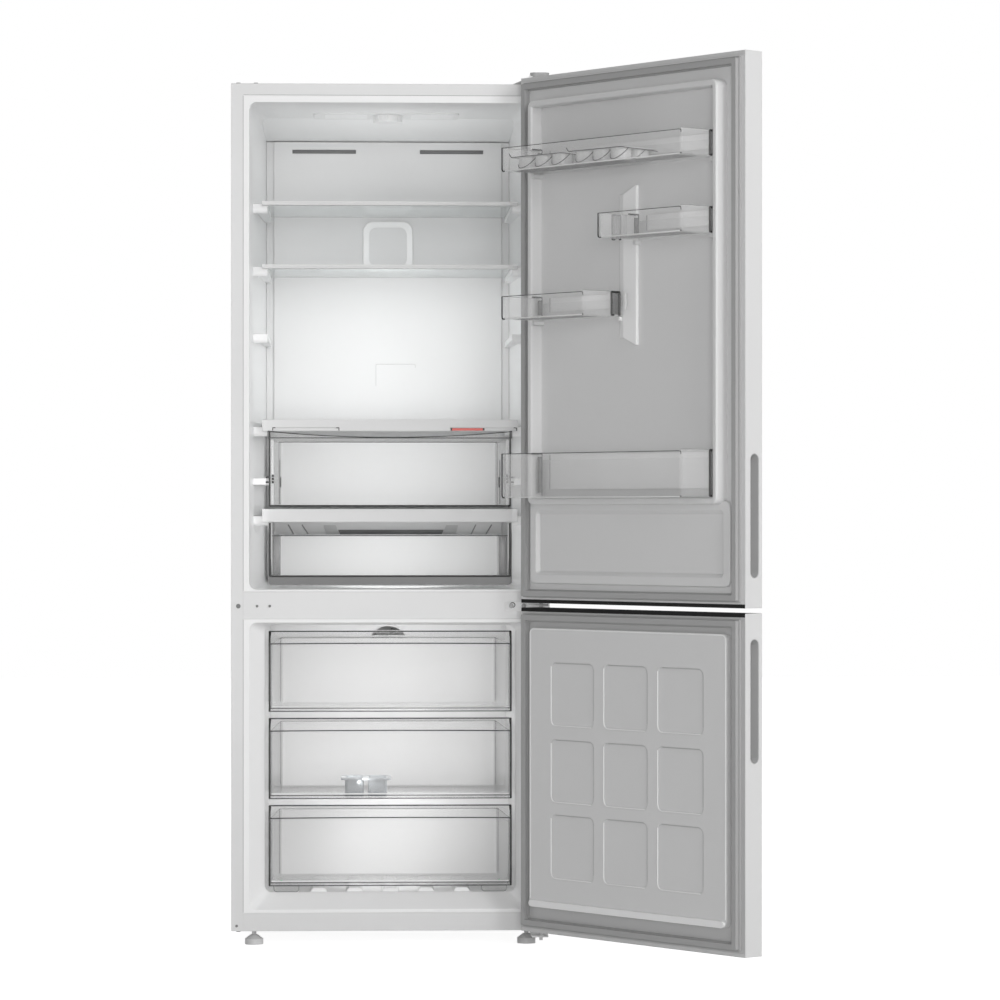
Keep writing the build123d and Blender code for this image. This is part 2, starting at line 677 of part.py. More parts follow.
with BuildPart() as crisper_cover_frame:
    add(crisper_frame_raw)
save(crisper_cover_frame, "crisper_cover_frame")

with BuildPart() as humidity_slider:
    slider_x = (slider_left, slider_left + slider_length)
    slider_z = (slider_middle - slider_height / 2, slider_middle + slider_height / 2)
    bar(upright(cover_front + slider_thickness), slider_x, slider_z, slider_thickness)
save(humidity_slider, "humidity_slider")

with BuildPart() as drawer_runners:
    for sign in (-1, 1):
        corners = [
            (sign * runner_half, runner_front), (sign * fridge_wall(runner_front), runner_front),
            (sign * fridge_wall(runner_back), runner_back), (sign * runner_half, runner_back),
        ]
        prism(level(runner_low), corners, runner_high - runner_low)
save(drawer_runners, "drawer_runners")


# ---------------------------------------------------------------- drawers
def tub(front, back, front_half, back_half, low, high):
    """An open box that narrows towards the back, with rounded back corners."""
    with BuildPart() as box:
        for shrink, bottom, mode in ((0.0, low, Mode.ADD), (drawer_wall, low + drawer_wall, Mode.SUBTRACT)):
            with BuildSketch(level(bottom)) as plan:
                with BuildLine():
                    Polyline(
                        (-front_half + shrink, front + shrink), (front_half - shrink, front + shrink),
                        (back_half - shrink, back - shrink), (-back_half + shrink, back - shrink),
                        close=True,
                    )
                make_face()
                fillet(plan.vertices(), radius=drawer_corner - shrink)
            extrude(plan.sketch, amount=high - bottom, mode=mode)
    return box.part


chill_plate_back = cover_front + chill_front_plate
chill_tub = tub(
    chill_plate_back - drawer_wall, chill_back, chill_front_half - drawer_wall, chill_back_half,
    chill_low, chill_high - drawer_wall,
)
with BuildPart() as chill_drawer:
    add(chill_tub)
    chill_x = (-chill_front_half, chill_front_half)
    bar(upright(chill_plate_back), chill_x, (chill_low, chill_high), chill_front_plate)
    with BuildSketch(upright(chill_plate_back)) as lip:
        with BuildLine():
            ends = [(-chill_front_half, chill_high), (chill_front_half, chill_high)]
            crest, sag = chill_high + chill_lip_height, chill_high + chill_lip_sag
            Line(*ends)
            Line(ends[0], (-chill_front_half, crest))
            ThreePointArc((-chill_front_half, crest), (0, sag), (chill_front_half, crest))
            Line((chill_front_half, crest), ends[1])
        make_face()
    extrude(lip.sketch, amount=chill_front_plate)
    for sign in (-1, 1):
        ear_end = chill_front_half + chill_ear
        ear_x = sorted((sign * ear_end, sign * (ear_end - chill_ear_width)))
        bar(upright(chill_plate_back), ear_x, (chill_high, crest), chill_front_plate)
    for sign in (-1, 1):
        rail_bottom = runner_high + fit_gap
        corners = [
            (sign * (chill_back_half - drawer_wall / 2), chill_back - drawer_corner),
            (sign * (chill_front_half - 2 * drawer_wall), chill_plate_back + drawer_corner),
            (sign * rail_half, chill_plate_back + drawer_corner),
            (sign * rail_half, chill_back - drawer_corner),
        ]
        prism(level(rail_bottom), corners, rail_height)
save(chill_drawer, "chill_drawer")

crisper_front_y = cover_front - (crisper_frame_depth - drawer_wall) / 2
crisper_frame_back = crisper_front_y + crisper_frame_depth
crisper_tub = tub(
    crisper_frame_back, crisper_back, crisper_half - crisper_frame_side, crisper_back_half,
    crisper_low, crisper_window_high,
)
window_half = crisper_half - crisper_frame_side
window_low = crisper_low + crisper_frame_bottom
with BuildPart() as crisper_drawer:
    add(crisper_tub)
    pane_x, pane_z = (-window_half, window_half), (window_low, crisper_window_high)
    bar(upright(crisper_frame_back), pane_x, pane_z, crisper_frame_back - cover_front)
save(crisper_drawer, "crisper_drawer")

with BuildPart() as crisper_front:
    frame_x = (-crisper_half, crisper_half)
    bar(upright(crisper_frame_back), frame_x, (crisper_low, crisper_high), crisper_frame_depth)
    fillet(crisper_front.edges().filter_by(Axis.Y).group_by(Axis.Z)[0], radius=crisper_frame_corner)
    window_x, window_z = (-window_half, window_half), (window_low, crisper_high)
    bar(upright(crisper_frame_back), window_x, window_z, crisper_frame_depth, Mode.SUBTRACT)
save(crisper_front, "crisper_front")

for name, top, back in zip(freezer_drawer_names, freezer_drawer_tops, freezer_drawer_backs):
    low = top - freezer_drawer_height
    lip = top - freezer_lip_drop
    front_back = freezer_drawer_front + 2 * drawer_wall
    drawer_tub = tub(
        front_back - drawer_wall, back, freezer_drawer_half - drawer_wall, freezer_drawer_back_half, low, lip,
    )
    with BuildPart() as freezer_drawer:
        add(drawer_tub)
        leaned = freezer_drawer_front + freezer_lip_lean
        points = [
            (freezer_drawer_front - drawer_wall, low),
            (freezer_drawer_front - drawer_wall, low + freezer_sill_height),
            (freezer_drawer_front, low + freezer_sill_height + drawer_wall),
            (freezer_drawer_front, lip - drawer_wall),
            (freezer_drawer_front - drawer_wall, lip), (leaned - drawer_wall, top),
            (leaned + drawer_wall, top), (freezer_drawer_front + drawer_wall, lip + drawer_wall),
            (front_back, lip), (front_back, low),
        ]
        prism(side(-freezer_drawer_half), points, 2 * freezer_drawer_half)
        if name == freezer_drawer_names[-1]:
            for span in ((drawer_foot_from, drawer_foot_to), (-drawer_foot_to, -drawer_foot_from)):
                foot_back = freezer_drawer_front + drawer_foot_depth
                foot_z = (low - drawer_foot_height, low + drawer_foot_corner)
                foot_length = drawer_foot_depth - drawer_wall
                bar(upright(foot_back), span, foot_z, foot_length, radius=drawer_foot_corner)
    save(freezer_drawer, name)

tray_floor = freezer_drawer_tops[1] - freezer_drawer_height + drawer_wall + fit_gap
tray_top = tray_floor + ice_tray_height
with BuildPart() as ice_tray:
    tray_x, tray_y = (ice_tray_left, ice_tray_right), (ice_tray_front, ice_tray_back)
    flange_low = tray_top - 2 * ice_tray_wall
    bar(level(flange_low), tray_x, tray_y, 2 * ice_tray_wall, radius=ice_tray_corner)
    tray_middle = (ice_tray_left + ice_tray_right) / 2
    cells = [
        (ice_tray_left + ice_tray_flange, tray_middle - ice_tray_gap / 2),
        (tray_middle + ice_tray_gap / 2, ice_tray_right - ice_tray_flange),
    ]
    cell_y = (ice_tray_front + ice_tray_flange, ice_tray_back - ice_tray_flange)
    for cell in cells:
        bar(level(tray_floor), cell, cell_y, ice_tray_height, radius=ice_tray_corner)
    for left, right in cells:
        inside_x = (left + ice_tray_wall, right - ice_tray_wall)
        inside_y = (cell_y[0] + ice_tray_wall, cell_y[1] - ice_tray_wall)
        depth = ice_tray_height - ice_tray_wall
        inside = level(tray_floor + ice_tray_wall)
        bar(inside, inside_x, inside_y, depth, Mode.SUBTRACT, radius=ice_tray_corner - ice_tray_wall)
save(ice_tray, "ice_tray")


# ---------------------------------------------------------------- doors
def door_plan(z, inset, amount, mode=Mode.ADD):
    """Add or cut the door's body: square at the inner face, rounded at the front edges."""
    with BuildSketch(door_level(z)) as plan:
        with BuildLine():
            left, right = inset, door_width - inset
            front = door_thickness - inset
            Polyline((left, 0), (right, 0), (right, front), (left, front), close=True)
        make_face()
        front_corners = plan.vertices().sort_by(Axis.Y)[2:]
        fillet(front_corners, radius=door_edge_radius - inset)
    extrude(plan.sketch, amount=amount, mode=mode)


def frame_ring(plane, inset, low, high, width, amount, corner, mode=Mode.ADD):
    """Add or cut a rounded frame that keeps the same distance from both upright edges of the door."""
    with BuildSketch(plane) as ring:
        with Locations((door_width / 2, (low + high) / 2)):
            RectangleRounded(door_width - 2 * inset, high - low, corner)
            inner_corner = max(corner - width, 2.0)
            RectangleRounded(
                door_width - 2 * (inset + width), high - low - 2 * width, inner_corner, mode=Mode.SUBTRACT
            )
    extrude(ring.sketch, amount=amount, mode=mode)


def door_skin(name, low, high, grip_low, grip_high):
    """The painted sheet: front and both upright edges, with the grip's slot in the free edge."""
    with BuildPart() as skin:
        door_plan(low, 0.0, high - low)
        door_plan(low, door_sheet, high - low, Mode.SUBTRACT)
        slot(grip_low, grip_high, grip_wall, door_sheet)
    save(skin, name)


def slot(grip_low, grip_high, grow, depth, mode=Mode.SUBTRACT):
    """Add or cut the round-ended grip recess, from the free edge towards the hinges."""
    with BuildSketch(door_section(door_width)) as outline:
        with Locations((grip_middle, (grip_low + grip_high) / 2)):
            length, width = grip_high - grip_low + 2 * grow, grip_width + 2 * grow
            SlotOverall(length, width, rotation=90)
    extrude(outline.sketch, amount=-depth, mode=mode)


def door_caps(name, low, high):
    """The two moulded end caps, each with the bore that a hinge pin turns in."""
    with BuildPart() as caps:
        for bottom in (low, high - cap_height):
            door_plan(bottom, door_sheet, cap_height)
            bore = pin_radius + running_clearance
            disc(door_level(bottom), pin_from_side, pin_from_inner_face, bore, cap_height, Mode.SUBTRACT)
    save(caps, name)


def door_grip(name, grip_low, grip_high):
    """The recessed grip: a round-ended cup let into the free edge."""
    with BuildPart() as grip:
        slot(grip_low, grip_high, grip_wall, grip_depth, Mode.ADD)
        slot(grip_low, grip_high, 0.0, grip_depth - grip_wall)
    save(grip, name)


def door_gasket(name, low, high):
    """The magnetic seal: a broad foot with a narrower nose."""
    with BuildPart() as gasket:
        width = gasket_to - gasket_from
        inner_low, inner_high = low + gasket_from, high - gasket_from
        frame_ring(door_face(0), gasket_from, inner_low, inner_high, width, gasket_base, gasket_nose_inset)
        nose = gasket_nose_inset
        frame_ring(
            door_face(gasket_base), gasket_from + nose, inner_low + nose, inner_high - nose,
            width - 2 * nose, gasket_height - gasket_base, gasket_nose_inset,
        )
    save(gasket, name)


upper_low, upper_high = door_spans["upper"]
lower_low, lower_high = door_spans["lower"]
for place in ("upper", "lower"):
    low, high = door_spans[place]
    grip_low, grip_high = grip_spans[place]
    door_skin(f"{place}_door_skin", low, high, grip_low, grip_high)
    door_caps(f"{place}_door_caps", low, high)
    door_grip(f"{place}_door_grip", grip_low, grip_high)
    door_gasket(f"{place}_door_gasket", low, high)

liner_span = (door_sheet, door_width - door_sheet)
dyke_low = bins["bottom_bin"][2] - fit_gap - dyke_width
core_height = dyke_height - door_liner_wall
dyke_axis = Axis((0, 0, 0), -outward)
with BuildPart() as dyke:
    frame_ring(door_face(0), dyke_from_edge, dyke_low, dyke_high, dyke_width, dyke_height, dyke_corner)
    fillet(dyke.faces().sort_by(dyke_axis)[-1].edges(), radius=dyke_rounding)

sill_high = dyke_low + sill_over_dyke
with BuildPart() as sill:
    frame_ring(door_face(0), sill_from_edge, sill_low, sill_high, sill_width, sill_height, dyke_corner)
    crest = sill.faces().sort_by(dyke_axis)[-1]
    chamfer(crest.inner_wires()[0].edges(), length=sill_chamfer)
    fillet(crest.outer_wire().edges(), radius=sill_rounding)

with BuildPart() as upper_door_liner:
    liner_z = (upper_low + cap_height, upper_high - cap_height)
    bar(door_face(-door_liner_wall), liner_span, liner_z, door_liner_wall)
    add(dyke.part)
    add(sill.part)
    crest_from = post_from + post_slope
    outline = [
        (post_from, post_low + post_slant), (crest_from, post_low + post_slant), (post_to, post_low),
        (post_to, post_high), (crest_from, post_high - post_slant), (post_from, post_high - post_slant),
    ]
    prism(door_face(0), outline, post_height)
    beyond = [(post_from, 0.0), (crest_from, -post_height), (post_from, -post_height)]
    prism(door_level(post_low), beyond, post_high - post_low, Mode.SUBTRACT)
    slot_x = ((post_from + post_to - post_slot_width) / 2, (post_from + post_to + post_slot_width) / 2)
    slot_z = (post_slot_low, post_slot_high)
    bar(door_face(post_height), slot_x, slot_z, -post_height / 2, Mode.SUBTRACT)
    core = dyke_from_edge + door_liner_wall
    frame_ring(
        door_face(-door_liner_wall), core, dyke_low + door_liner_wall, dyke_high - door_liner_wall,
        dyke_width - 2 * door_liner_wall, core_height + door_liner_wall, dyke_corner - door_liner_wall,
        Mode.SUBTRACT,
    )
    ledged = [size for name, size in bins.items() if name != "bottom_bin"]
    for start, end, low, high in ledged:
        for root, toward in ((start - bin_end_gap, ledge_length), (end + bin_end_gap, -ledge_length)):
            reach = post_ledge if post_from <= root <= post_to else ledge_to
            span = sorted((root, root + toward))
            bar(door_level(low - fit_gap - ledge_height), span, (-reach, 0.0), ledge_height)
save(upper_door_liner, "upper_door_liner")

with BuildPart() as lower_door_liner:
    liner_z = (lower_low + cap_height, lower_high - cap_height)
    bar(door_face(-door_liner_wall), liner_span, liner_z, door_liner_wall)
    plate_x, plate_z = (plate_from, plate_to), (plate_low, plate_high)
    bar(door_face(0), plate_x, plate_z, plate_height, radius=plate_corner)
    for dimple_x in dimple_spans_along:
        for dimple_z in dimple_spans_up:
            bar(door_face(plate_height), dimple_x, dimple_z, -dimple_depth, Mode.SUBTRACT, dimple_corner)
    ridge_z = (plate_low, ridge_top)
    ridge_rounding = (ridge_top - plate_low) / 2 - fit_gap
    bar(door_face(0), (ridge_from, ridge_to), ridge_z, ridge_height, radius=ridge_rounding)
    core_x = (plate_from + plate_wall, plate_to - plate_wall)
    core_z = (plate_low + plate_wall, plate_high - plate_wall)
    core_plane = door_face(-door_liner_wall)
    core_depth = plate_height - plate_wall + door_liner_wall
    bar(core_plane, core_x, core_z, core_depth, Mode.SUBTRACT, radius=plate_corner - plate_wall)
save(lower_door_liner, "lower_door_liner")


def door_foam(place):
    """The insulation inside the door: the main block, blocks round the grip, and what fills the liner."""
    low, high = door_spans[place]
    grip_low, grip_high = grip_spans[place]
    with BuildPart() as foam:
        door_plan(low + cap_height, door_sheet, high - low - 2 * cap_height)
        liner_z = (low + cap_height, high - cap_height)
        bar(door_face(-door_liner_wall), liner_span, liner_z, door_liner_wall, Mode.SUBTRACT)
        slot(grip_low, grip_high, grip_wall, grip_depth)
        if place == "upper":
            frame_ring(
                door_face(-door_liner_wall), dyke_from_edge + door_liner_wall, dyke_low + door_liner_wall,
                dyke_high - door_liner_wall, dyke_width - 2 * door_liner_wall,
                core_height + door_liner_wall, dyke_corner - door_liner_wall,
            )
        else:
            bar(core_plane, core_x, core_z, core_depth, radius=plate_corner - plate_wall)
        grip_floor = door_width - grip_depth
        joint = (grip_floor - fit_gap, grip_floor)
        through = (-door_liner_wall, door_thickness)
        bar(door_level(low), joint, through, high - low, Mode.SUBTRACT)
        for z in (grip_low + grip_width / 2, grip_high - grip_width / 2):
            bar(door_level(z), (grip_floor, door_width), through, fit_gap, Mode.SUBTRACT)
        bar(door_face(-door_liner_wall), liner_span, liner_z, -fit_gap, Mode.SUBTRACT)
        if place == "upper":
            for z in (dyke_low + dyke_width, dyke_high - dyke_width):
                core_depth_span = (-dyke_height, door_liner_wall + fit_gap)
                bar(door_level(z), liner_span, core_depth_span, fit_gap, Mode.SUBTRACT)
    save(foam, f"{place}_door_foam")


door_foam("upper")
door_foam("lower")


# ---------------------------------------------------------------- door bins and egg trays
def door_bin(name, start, end, low, high):
    """A see-through bin: high in front, lower at the back, rounded front corners."""
    with BuildPart() as tray:
        for shrink, bottom, mode in ((0.0, low, Mode.ADD), (bin_wall, low + bin_wall, Mode.SUBTRACT)):
            with BuildSketch(door_level(bottom)) as plan:
                with BuildLine():
                    near, far = -bin_back - shrink, -bin_reach + shrink
                    left, right = start + shrink, end - shrink
                    Polyline((left, near), (right, near), (right, far), (left, far), close=True)
                make_face()
                far_corners = plan.vertices().sort_by(Axis.Y)[:2]
                fillet(far_corners, radius=bin_corner - shrink)
            extrude(plan.sketch, amount=high - bottom, mode=mode)
        cut = (-bin_back - bin_wall, -bin_back)
        low_back = (start + bin_corner, end - bin_corner)
        bar(door_level(high - bin_back_drop), low_back, cut, bin_back_drop, Mode.SUBTRACT)
    save(tray, name)


for name, (start, end, low, high) in bins.items():
    door_bin(name, start, end, low, high)

egg_floor = bins["top_bin"][2] + bin_wall + fit_gap
with BuildPart() as egg_trays:
    for start in egg_tray_starts:
        centre = (start + egg_tray_length / 2, -egg_tray_middle)
        with BuildSketch(door_level(egg_floor + egg_tray_height - egg_tray_sheet)) as plate:
            with Locations(centre):
                RectangleRounded(egg_tray_length, egg_tray_depth, egg_tray_corner)
        extrude(plate.sketch, amount=egg_tray_sheet)
        with BuildSketch(door_level(egg_floor)) as cups:
            with Locations(centre):
                with GridLocations(*egg_cup_pitches, egg_columns, egg_rows):
                    Circle(egg_cup_radius + egg_cup_wall)
        extrude(cups.sketch, amount=egg_tray_height - egg_tray_sheet)
        with BuildSketch(door_level(egg_floor + egg_cup_wall)) as hollows:
            with Locations(centre):
                with GridLocations(*egg_cup_pitches, egg_columns, egg_rows):
                    Circle(egg_cup_radius)
        extrude(hollows.sketch, amount=egg_tray_height - egg_cup_wall, mode=Mode.SUBTRACT)
save(egg_trays, "egg_trays")

# ---------------------------------------------------------------- hinges
leaf_x = (leaf_left, leaf_right)
with BuildPart() as mid_hinge:
    plate_span = (mid_plate_left, leaf_right)
    plate_z_span = (mid_plate_low, mid_plate_high)
    bar(upright(0), plate_span, plate_z_span, mid_plate_thickness)
    plate_ends = mid_hinge.edges().filter_by(Axis.Y)
    fillet(plate_ends.group_by(Axis.X)[0], radius=mid_plate_corner)
    bar(level(mid_leaf_low), leaf_x, (-leaf_front, 0), leaf_thickness)
    pin_low, pin_high = lower_high - pin_engagement, upper_low + pin_engagement
    disc(level(pin_low), pin_x, pin_y, pin_radius, pin_high - pin_low)
    for x in rail_screws:
        hole = screw_radius + hole_clearance
        disc(upright(0), x, rail_screw_height, hole, mid_plate_thickness, Mode.SUBTRACT)
save(mid_hinge, "mid_hinge")

leaf_top = top_leaf_low + leaf_thickness
with BuildPart() as top_hinge:
    bar(level(top_leaf_low), leaf_x, (-leaf_front, top_block_back), leaf_thickness)
    bar(level(cabinet_top), leaf_x, (leaf_thickness, top_block_back), top_leaf_low - cabinet_top)
    pin_low = upper_high - pin_engagement
    disc(level(pin_low), pin_x, pin_y, pin_radius, top_leaf_low - pin_low)
save(top_hinge, "top_hinge")

with BuildPart() as top_hinge_cover:
    cover_back_y = top_block_back + top_cover_wall
    edge = [(half_width - inward, cabinet_top + rise) for inward, rise in top_cover_outline]
    profile = [(edge[0][0], cabinet_top), *edge, (edge[-1][0], cabinet_top)]
    prism(upright(cover_back_y), profile, cover_back_y - top_cover_wall)
    knob_x, knob_y = (top_knob_left, top_knob_right), (-leaf_front - top_cover_wall, cover_back_y / 2)
    knob_height = cabinet_top + top_knob_rise - top_leaf_low
    bar(level(top_leaf_low), knob_x, knob_y, knob_height, radius=top_knob_corner)
    hollow_y = (-leaf_front, top_block_back)
    hollow_height = top_leaf_low + leaf_thickness + top_cover_clearance - cabinet_top
    bar(level(cabinet_top), leaf_x, hollow_y, hollow_height, Mode.SUBTRACT)
save(top_hinge_cover, "top_hinge_cover")

with BuildPart() as bottom_hinge:
    low_leaf_x = (bottom_leaf_left, leaf_right)
    bar(level(bottom_leaf_low), low_leaf_x, (-leaf_front, top_block_back), leaf_thickness)
    packer_low = bottom_leaf_low + leaf_thickness
    bar(level(packer_low), low_leaf_x, (leaf_thickness, top_block_back), cabinet_bottom - packer_low)
    disc(level(bottom_pin_low), pin_x, pin_y, pin_radius, lower_low + pin_engagement - bottom_pin_low)
save(bottom_hinge, "bottom_hinge")

with BuildPart() as hinge_screws:
    head_plane = upright(-mid_plate_thickness)
    for x in rail_screws:
        disc(head_plane, x, rail_screw_height, screw_head_radius, screw_head_height)
        shank = front_sheet + mid_plate_thickness
        disc(upright(front_sheet), x, rail_screw_height, screw_radius, shank)
save(hinge_screws, "hinge_screws")

with BuildPart() as blanking_plugs:
    for x in top_plugs:
        disc(level(cabinet_top), x, top_plug_y, plug_radius, plug_height)
    disc(upright(0), *flange_plug, plug_radius, plug_height / 2)
    disc(upright(0), *low_plug, rail_plug_radius, plug_height / 2)
    disc(level(cabinet_bottom), top_plugs[0], top_plug_y, plug_radius, -plug_height)
    for x in rail_screws:
        disc(upright(0), -x, rail_screw_height, rail_plug_radius, plug_height / 2)
        disc(upright(front_sheet), -x, rail_screw_height, screw_radius, front_sheet)
save(blanking_plugs, "blanking_plugs")

# ---------------------------------------------------------------- feet and rollers
for name, sign in (("left_foot", -1), ("right_foot", 1)):
    with BuildPart() as foot:
        with BuildSketch(upright(foot_y)) as half_section:
            with BuildLine():
                centre = sign * foot_x
                Polyline(
                    (centre, 0), (centre + foot_radius, 0), (centre + foot_radius, foot_height),
                    (centre + foot_neck_radius, foot_neck_top), (centre + foot_stem_radius, foot_neck_top),
                    (centre + foot_stem_radius, foot_stem_top), (centre, foot_stem_top), close=True,
                )
            make_face()
        axis_at = Vector(centre, foot_y) - middle
        revolve(half_section.sketch, axis=Axis((axis_at.X, axis_at.Y, 0), (0, 0, 1)))
    save(foot, name)

with BuildPart() as rear_rollers:
    for sign in (-1, 1):
        left = sign * roller_x - roller_width / 2
        disc(side(left), roller_y, roller_radius, roller_radius, roller_width)
        stub_start = left - fit_gap - roller_stub_length
        stub_length = roller_width + 2 * (fit_gap + roller_stub_length)
        disc(side(stub_start), roller_y, roller_radius, roller_stub_radius, stub_length)
save(rear_rollers, "rear_rollers")

# ---------------------------------------------------------------- freezer's air side
with BuildPart() as freezer_back_cover:
    cover_span = (-air_cover_half, air_cover_half)
    cover_rise = (air_cover_low, air_cover_high)
    bar(upright(space_back), cover_span, cover_rise, space_back - air_cover_front)
    inner_x = (-air_cover_half + air_cover_sheet, air_cover_half - air_cover_sheet)
    inner_z = (air_cover_low + air_cover_sheet, air_cover_high - air_cover_sheet)
    hollow = space_back - air_cover_front - air_cover_sheet
    bar(upright(space_back), inner_x, inner_z, hollow, Mode.SUBTRACT)
    grille_plane = upright(air_cover_front + air_cover_sheet)
    disc(grille_plane, 0, fan_middle, grille_radius, air_cover_sheet, Mode.SUBTRACT)
    step = 2 * grille_radius / (grille_bars + 1)
    for number in range(1, grille_bars + 1):
        z = fan_middle - grille_radius + number * step
        half_chord = (grille_radius**2 - (z - fan_middle) ** 2) ** 0.5 + air_cover_sheet / 2
        bar_z = (z - grille_bar_width / 2, z + grille_bar_width / 2)
        bar(grille_plane, (-half_chord, half_chord), bar_z, air_cover_sheet)
save(freezer_back_cover, "freezer_back_cover")

with BuildPart() as evaporator_fan:
    disc(upright(fan_front + fan_thickness), 0, fan_middle, fan_hub_radius, fan_thickness)
    for number in range(fan_blades):
        blade_turn = radians(360 / fan_blades * number)
        spoke = Vector(cos(blade_turn), 0, sin(blade_turn))
        tangent = Vector(-sin(blade_turn), 0, cos(blade_turn))
        tilt = radians(fan_blade_angle)
        face = tangent * sin(tilt) - Vector(0, cos(tilt), 0)
        hub = (-middle_x, fan_front + fan_thickness / 2 - middle_y, fan_middle)
        blade_plane = Plane(origin=hub, x_dir=spoke, z_dir=face)
        blade_span = (fan_hub_radius - fan_blade_sheet, fan_radius)
        blade_half = fan_thickness / 2
        with BuildSketch(blade_plane) as blade:
            with Locations(((blade_span[0] + blade_span[1]) / 2, 0)):
                Rectangle(blade_span[1] - blade_span[0], 2 * blade_half)
        extrude(blade.sketch, amount=fan_blade_sheet / 2, both=True)
    bore, bore_depth = shaft_radius + running_clearance, fan_thickness - fan_blade_sheet
    disc(upright(fan_front + fan_thickness), 0, fan_middle, bore, bore_depth, Mode.SUBTRACT)
save(evaporator_fan, "evaporator_fan")

with BuildPart() as fan_motor:
    disc(upright(motor_back), 0, fan_middle, motor_radius, motor_back - motor_front)
    shaft_front = fan_front + fan_blade_sheet + fit_gap
    disc(upright(motor_front), 0, fan_middle, shaft_radius, motor_front - shaft_front)
    arm = (fan_middle - motor_radius / 2, fan_middle + motor_radius / 2)
    bar(upright(space_back), (-motor_radius, motor_radius), arm, space_back - motor_back)
save(fan_motor, "fan_motor")

with BuildPart() as evaporator:
    fin_gaps = round(2 * evaporator_half / fin_pitch)
    for number in range(fin_gaps + 1):
        x = (2 * number / fin_gaps - 1) * (evaporator_half - fin_sheet)
        fin_y = (evaporator_front, evaporator_back)
        fin_z = (evaporator_low, evaporator_high)
        bar(side(x - fin_sheet / 2), fin_y, fin_z, fin_sheet)
    for number in range(coil_rows):
        z = evaporator_low + (number + 0.5) * (evaporator_high - evaporator_low) / coil_rows
        for y in (evaporator_front + 3 * coil_radius, evaporator_back - 3 * coil_radius):
            disc(side(-evaporator_half), y, z, coil_radius, 2 * evaporator_half)
    hanger_z = (evaporator_high - fin_pitch, evaporator_high)
    hanger_length = space_back - evaporator_back + fin_sheet
    for sign in (-1, 1):
        x = sign * (1 - 2 / fin_gaps) * (evaporator_half - fin_sheet)
        bar(upright(space_back), (x - coil_radius, x + coil_radius), hanger_z, hanger_length)
save(evaporator, "evaporator")

# ---------------------------------------------------------------- machine room
with BuildPart() as compressor:
    half_length, half_width = compressor_length / 2, compressor_width / 2
    shell_low = floor_plate_top + compressor_foot_height
    span_x = (compressor_x - half_length, compressor_x + half_length)
    span_y = (compressor_y - half_width, compressor_y + half_width)
    bar(level(shell_low), span_x, span_y, compressor_height, radius=compressor_rounding)
    shell_ends = compressor.faces().filter_by(Axis.Z)
    fillet(shell_ends.edges(), radius=compressor_rounding / 2)
    plate_low_z = shell_low - compressor_foot_sheet / 2
    bar(level(plate_low_z), span_x, span_y, compressor_foot_sheet + compressor_rounding / 2 - fit_gap)
    grommet_pitches = (compressor_length - 3 * grommet_radius, compressor_width - 3 * grommet_radius)
    with BuildSketch(level(floor_plate_top)) as grommets:
        with Locations((compressor_x, compressor_y)):
            with GridLocations(*grommet_pitches, 2, 2):
                Circle(grommet_radius)
    extrude(grommets.sketch, amount=plate_low_z - floor_plate_top)
save(compressor, "compressor")

with BuildPart() as condenser_coil:
    pitch = (condenser_high - condenser_low) / (condenser_runs - 1)
    corners = []
    for number in range(condenser_runs):
        z = condenser_low + number * pitch
        ends = [(condenser_left, z), (condenser_right, z)]
        corners += ends if number % 2 == 0 else ends[::-1]
    with BuildLine(upright(condenser_y)) as route:
        FilletPolyline(*corners, radius=pitch / 2 - hole_clearance)
    with BuildSketch(Plane(origin=route.line @ 0, z_dir=route.line % 0)) as tube:
        Circle(condenser_tube)
    sweep(tube.sketch, path=route.line)
    strip_y = (condenser_y - condenser_strip / 2, condenser_y + condenser_strip / 2)
    for share in (0.3, 0.7):
        x = condenser_left + share * (condenser_right - condenser_left)
        strip_x = (x - condenser_strip / 2, x + condenser_strip / 2)
        bar(level(floor_plate_top), strip_x, strip_y, condenser_high - floor_plate_top)
save(condenser_coil, "condenser_coil")

with BuildPart() as evaporation_tray:
    tray_span_x, tray_span_y = (tray_left, tray_right), (tray_front, tray_back)
    bar(level(floor_plate_top), tray_span_x, tray_span_y, tray_height, radius=drawer_corner)
    inner_span_x = (tray_left + tray_wall, tray_right - tray_wall)
    inner_span_y = (tray_front + tray_wall, tray_back - tray_wall)
    tray_inside = level(floor_plate_top + tray_wall)
    bar(tray_inside, inner_span_x, inner_span_y, tray_height, Mode.SUBTRACT, radius=drawer_corner - tray_wall)
save(evaporation_tray, "evaporation_tray")

with BuildPart() as control_box:
    bar(level(floor_plate_top), (box_left, box_right), (box_front, box_back), box_high - floor_plate_top)
    inlet_x, inlet_z = (box_left + box_right) / 2, (box_low + box_high) / 2
    inlet_span = (inlet_x - inlet_width / 2, inlet_x + inlet_width / 2)
    inlet_rise = (inlet_z - inlet_height / 2, inlet_z + inlet_height / 2)
    bar(upright(box_back), inlet_span, inlet_rise, inlet_depth, Mode.SUBTRACT)
    for offset in (-7.0, 0.0, 7.0):
        disc(upright(box_back - inlet_depth / 4), inlet_x + offset, inlet_z, 1.5, inlet_depth)
save(control_box, "control_box")

print("cabinet middle from the origin:", -middle_x, -middle_y)
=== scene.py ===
"""Looks of the bottom-freezer refrigerator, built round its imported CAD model.

Millimetres are used for the cabinet and the doors, as in the part's source: X from the cabinet's
middle, Y from its front face to the back, Z from the floor. A door point is its distance from the
hinge edge, its distance outward from the inner face (towards the food is negative), and its height.
"""

from math import cos, pi, radians, sin

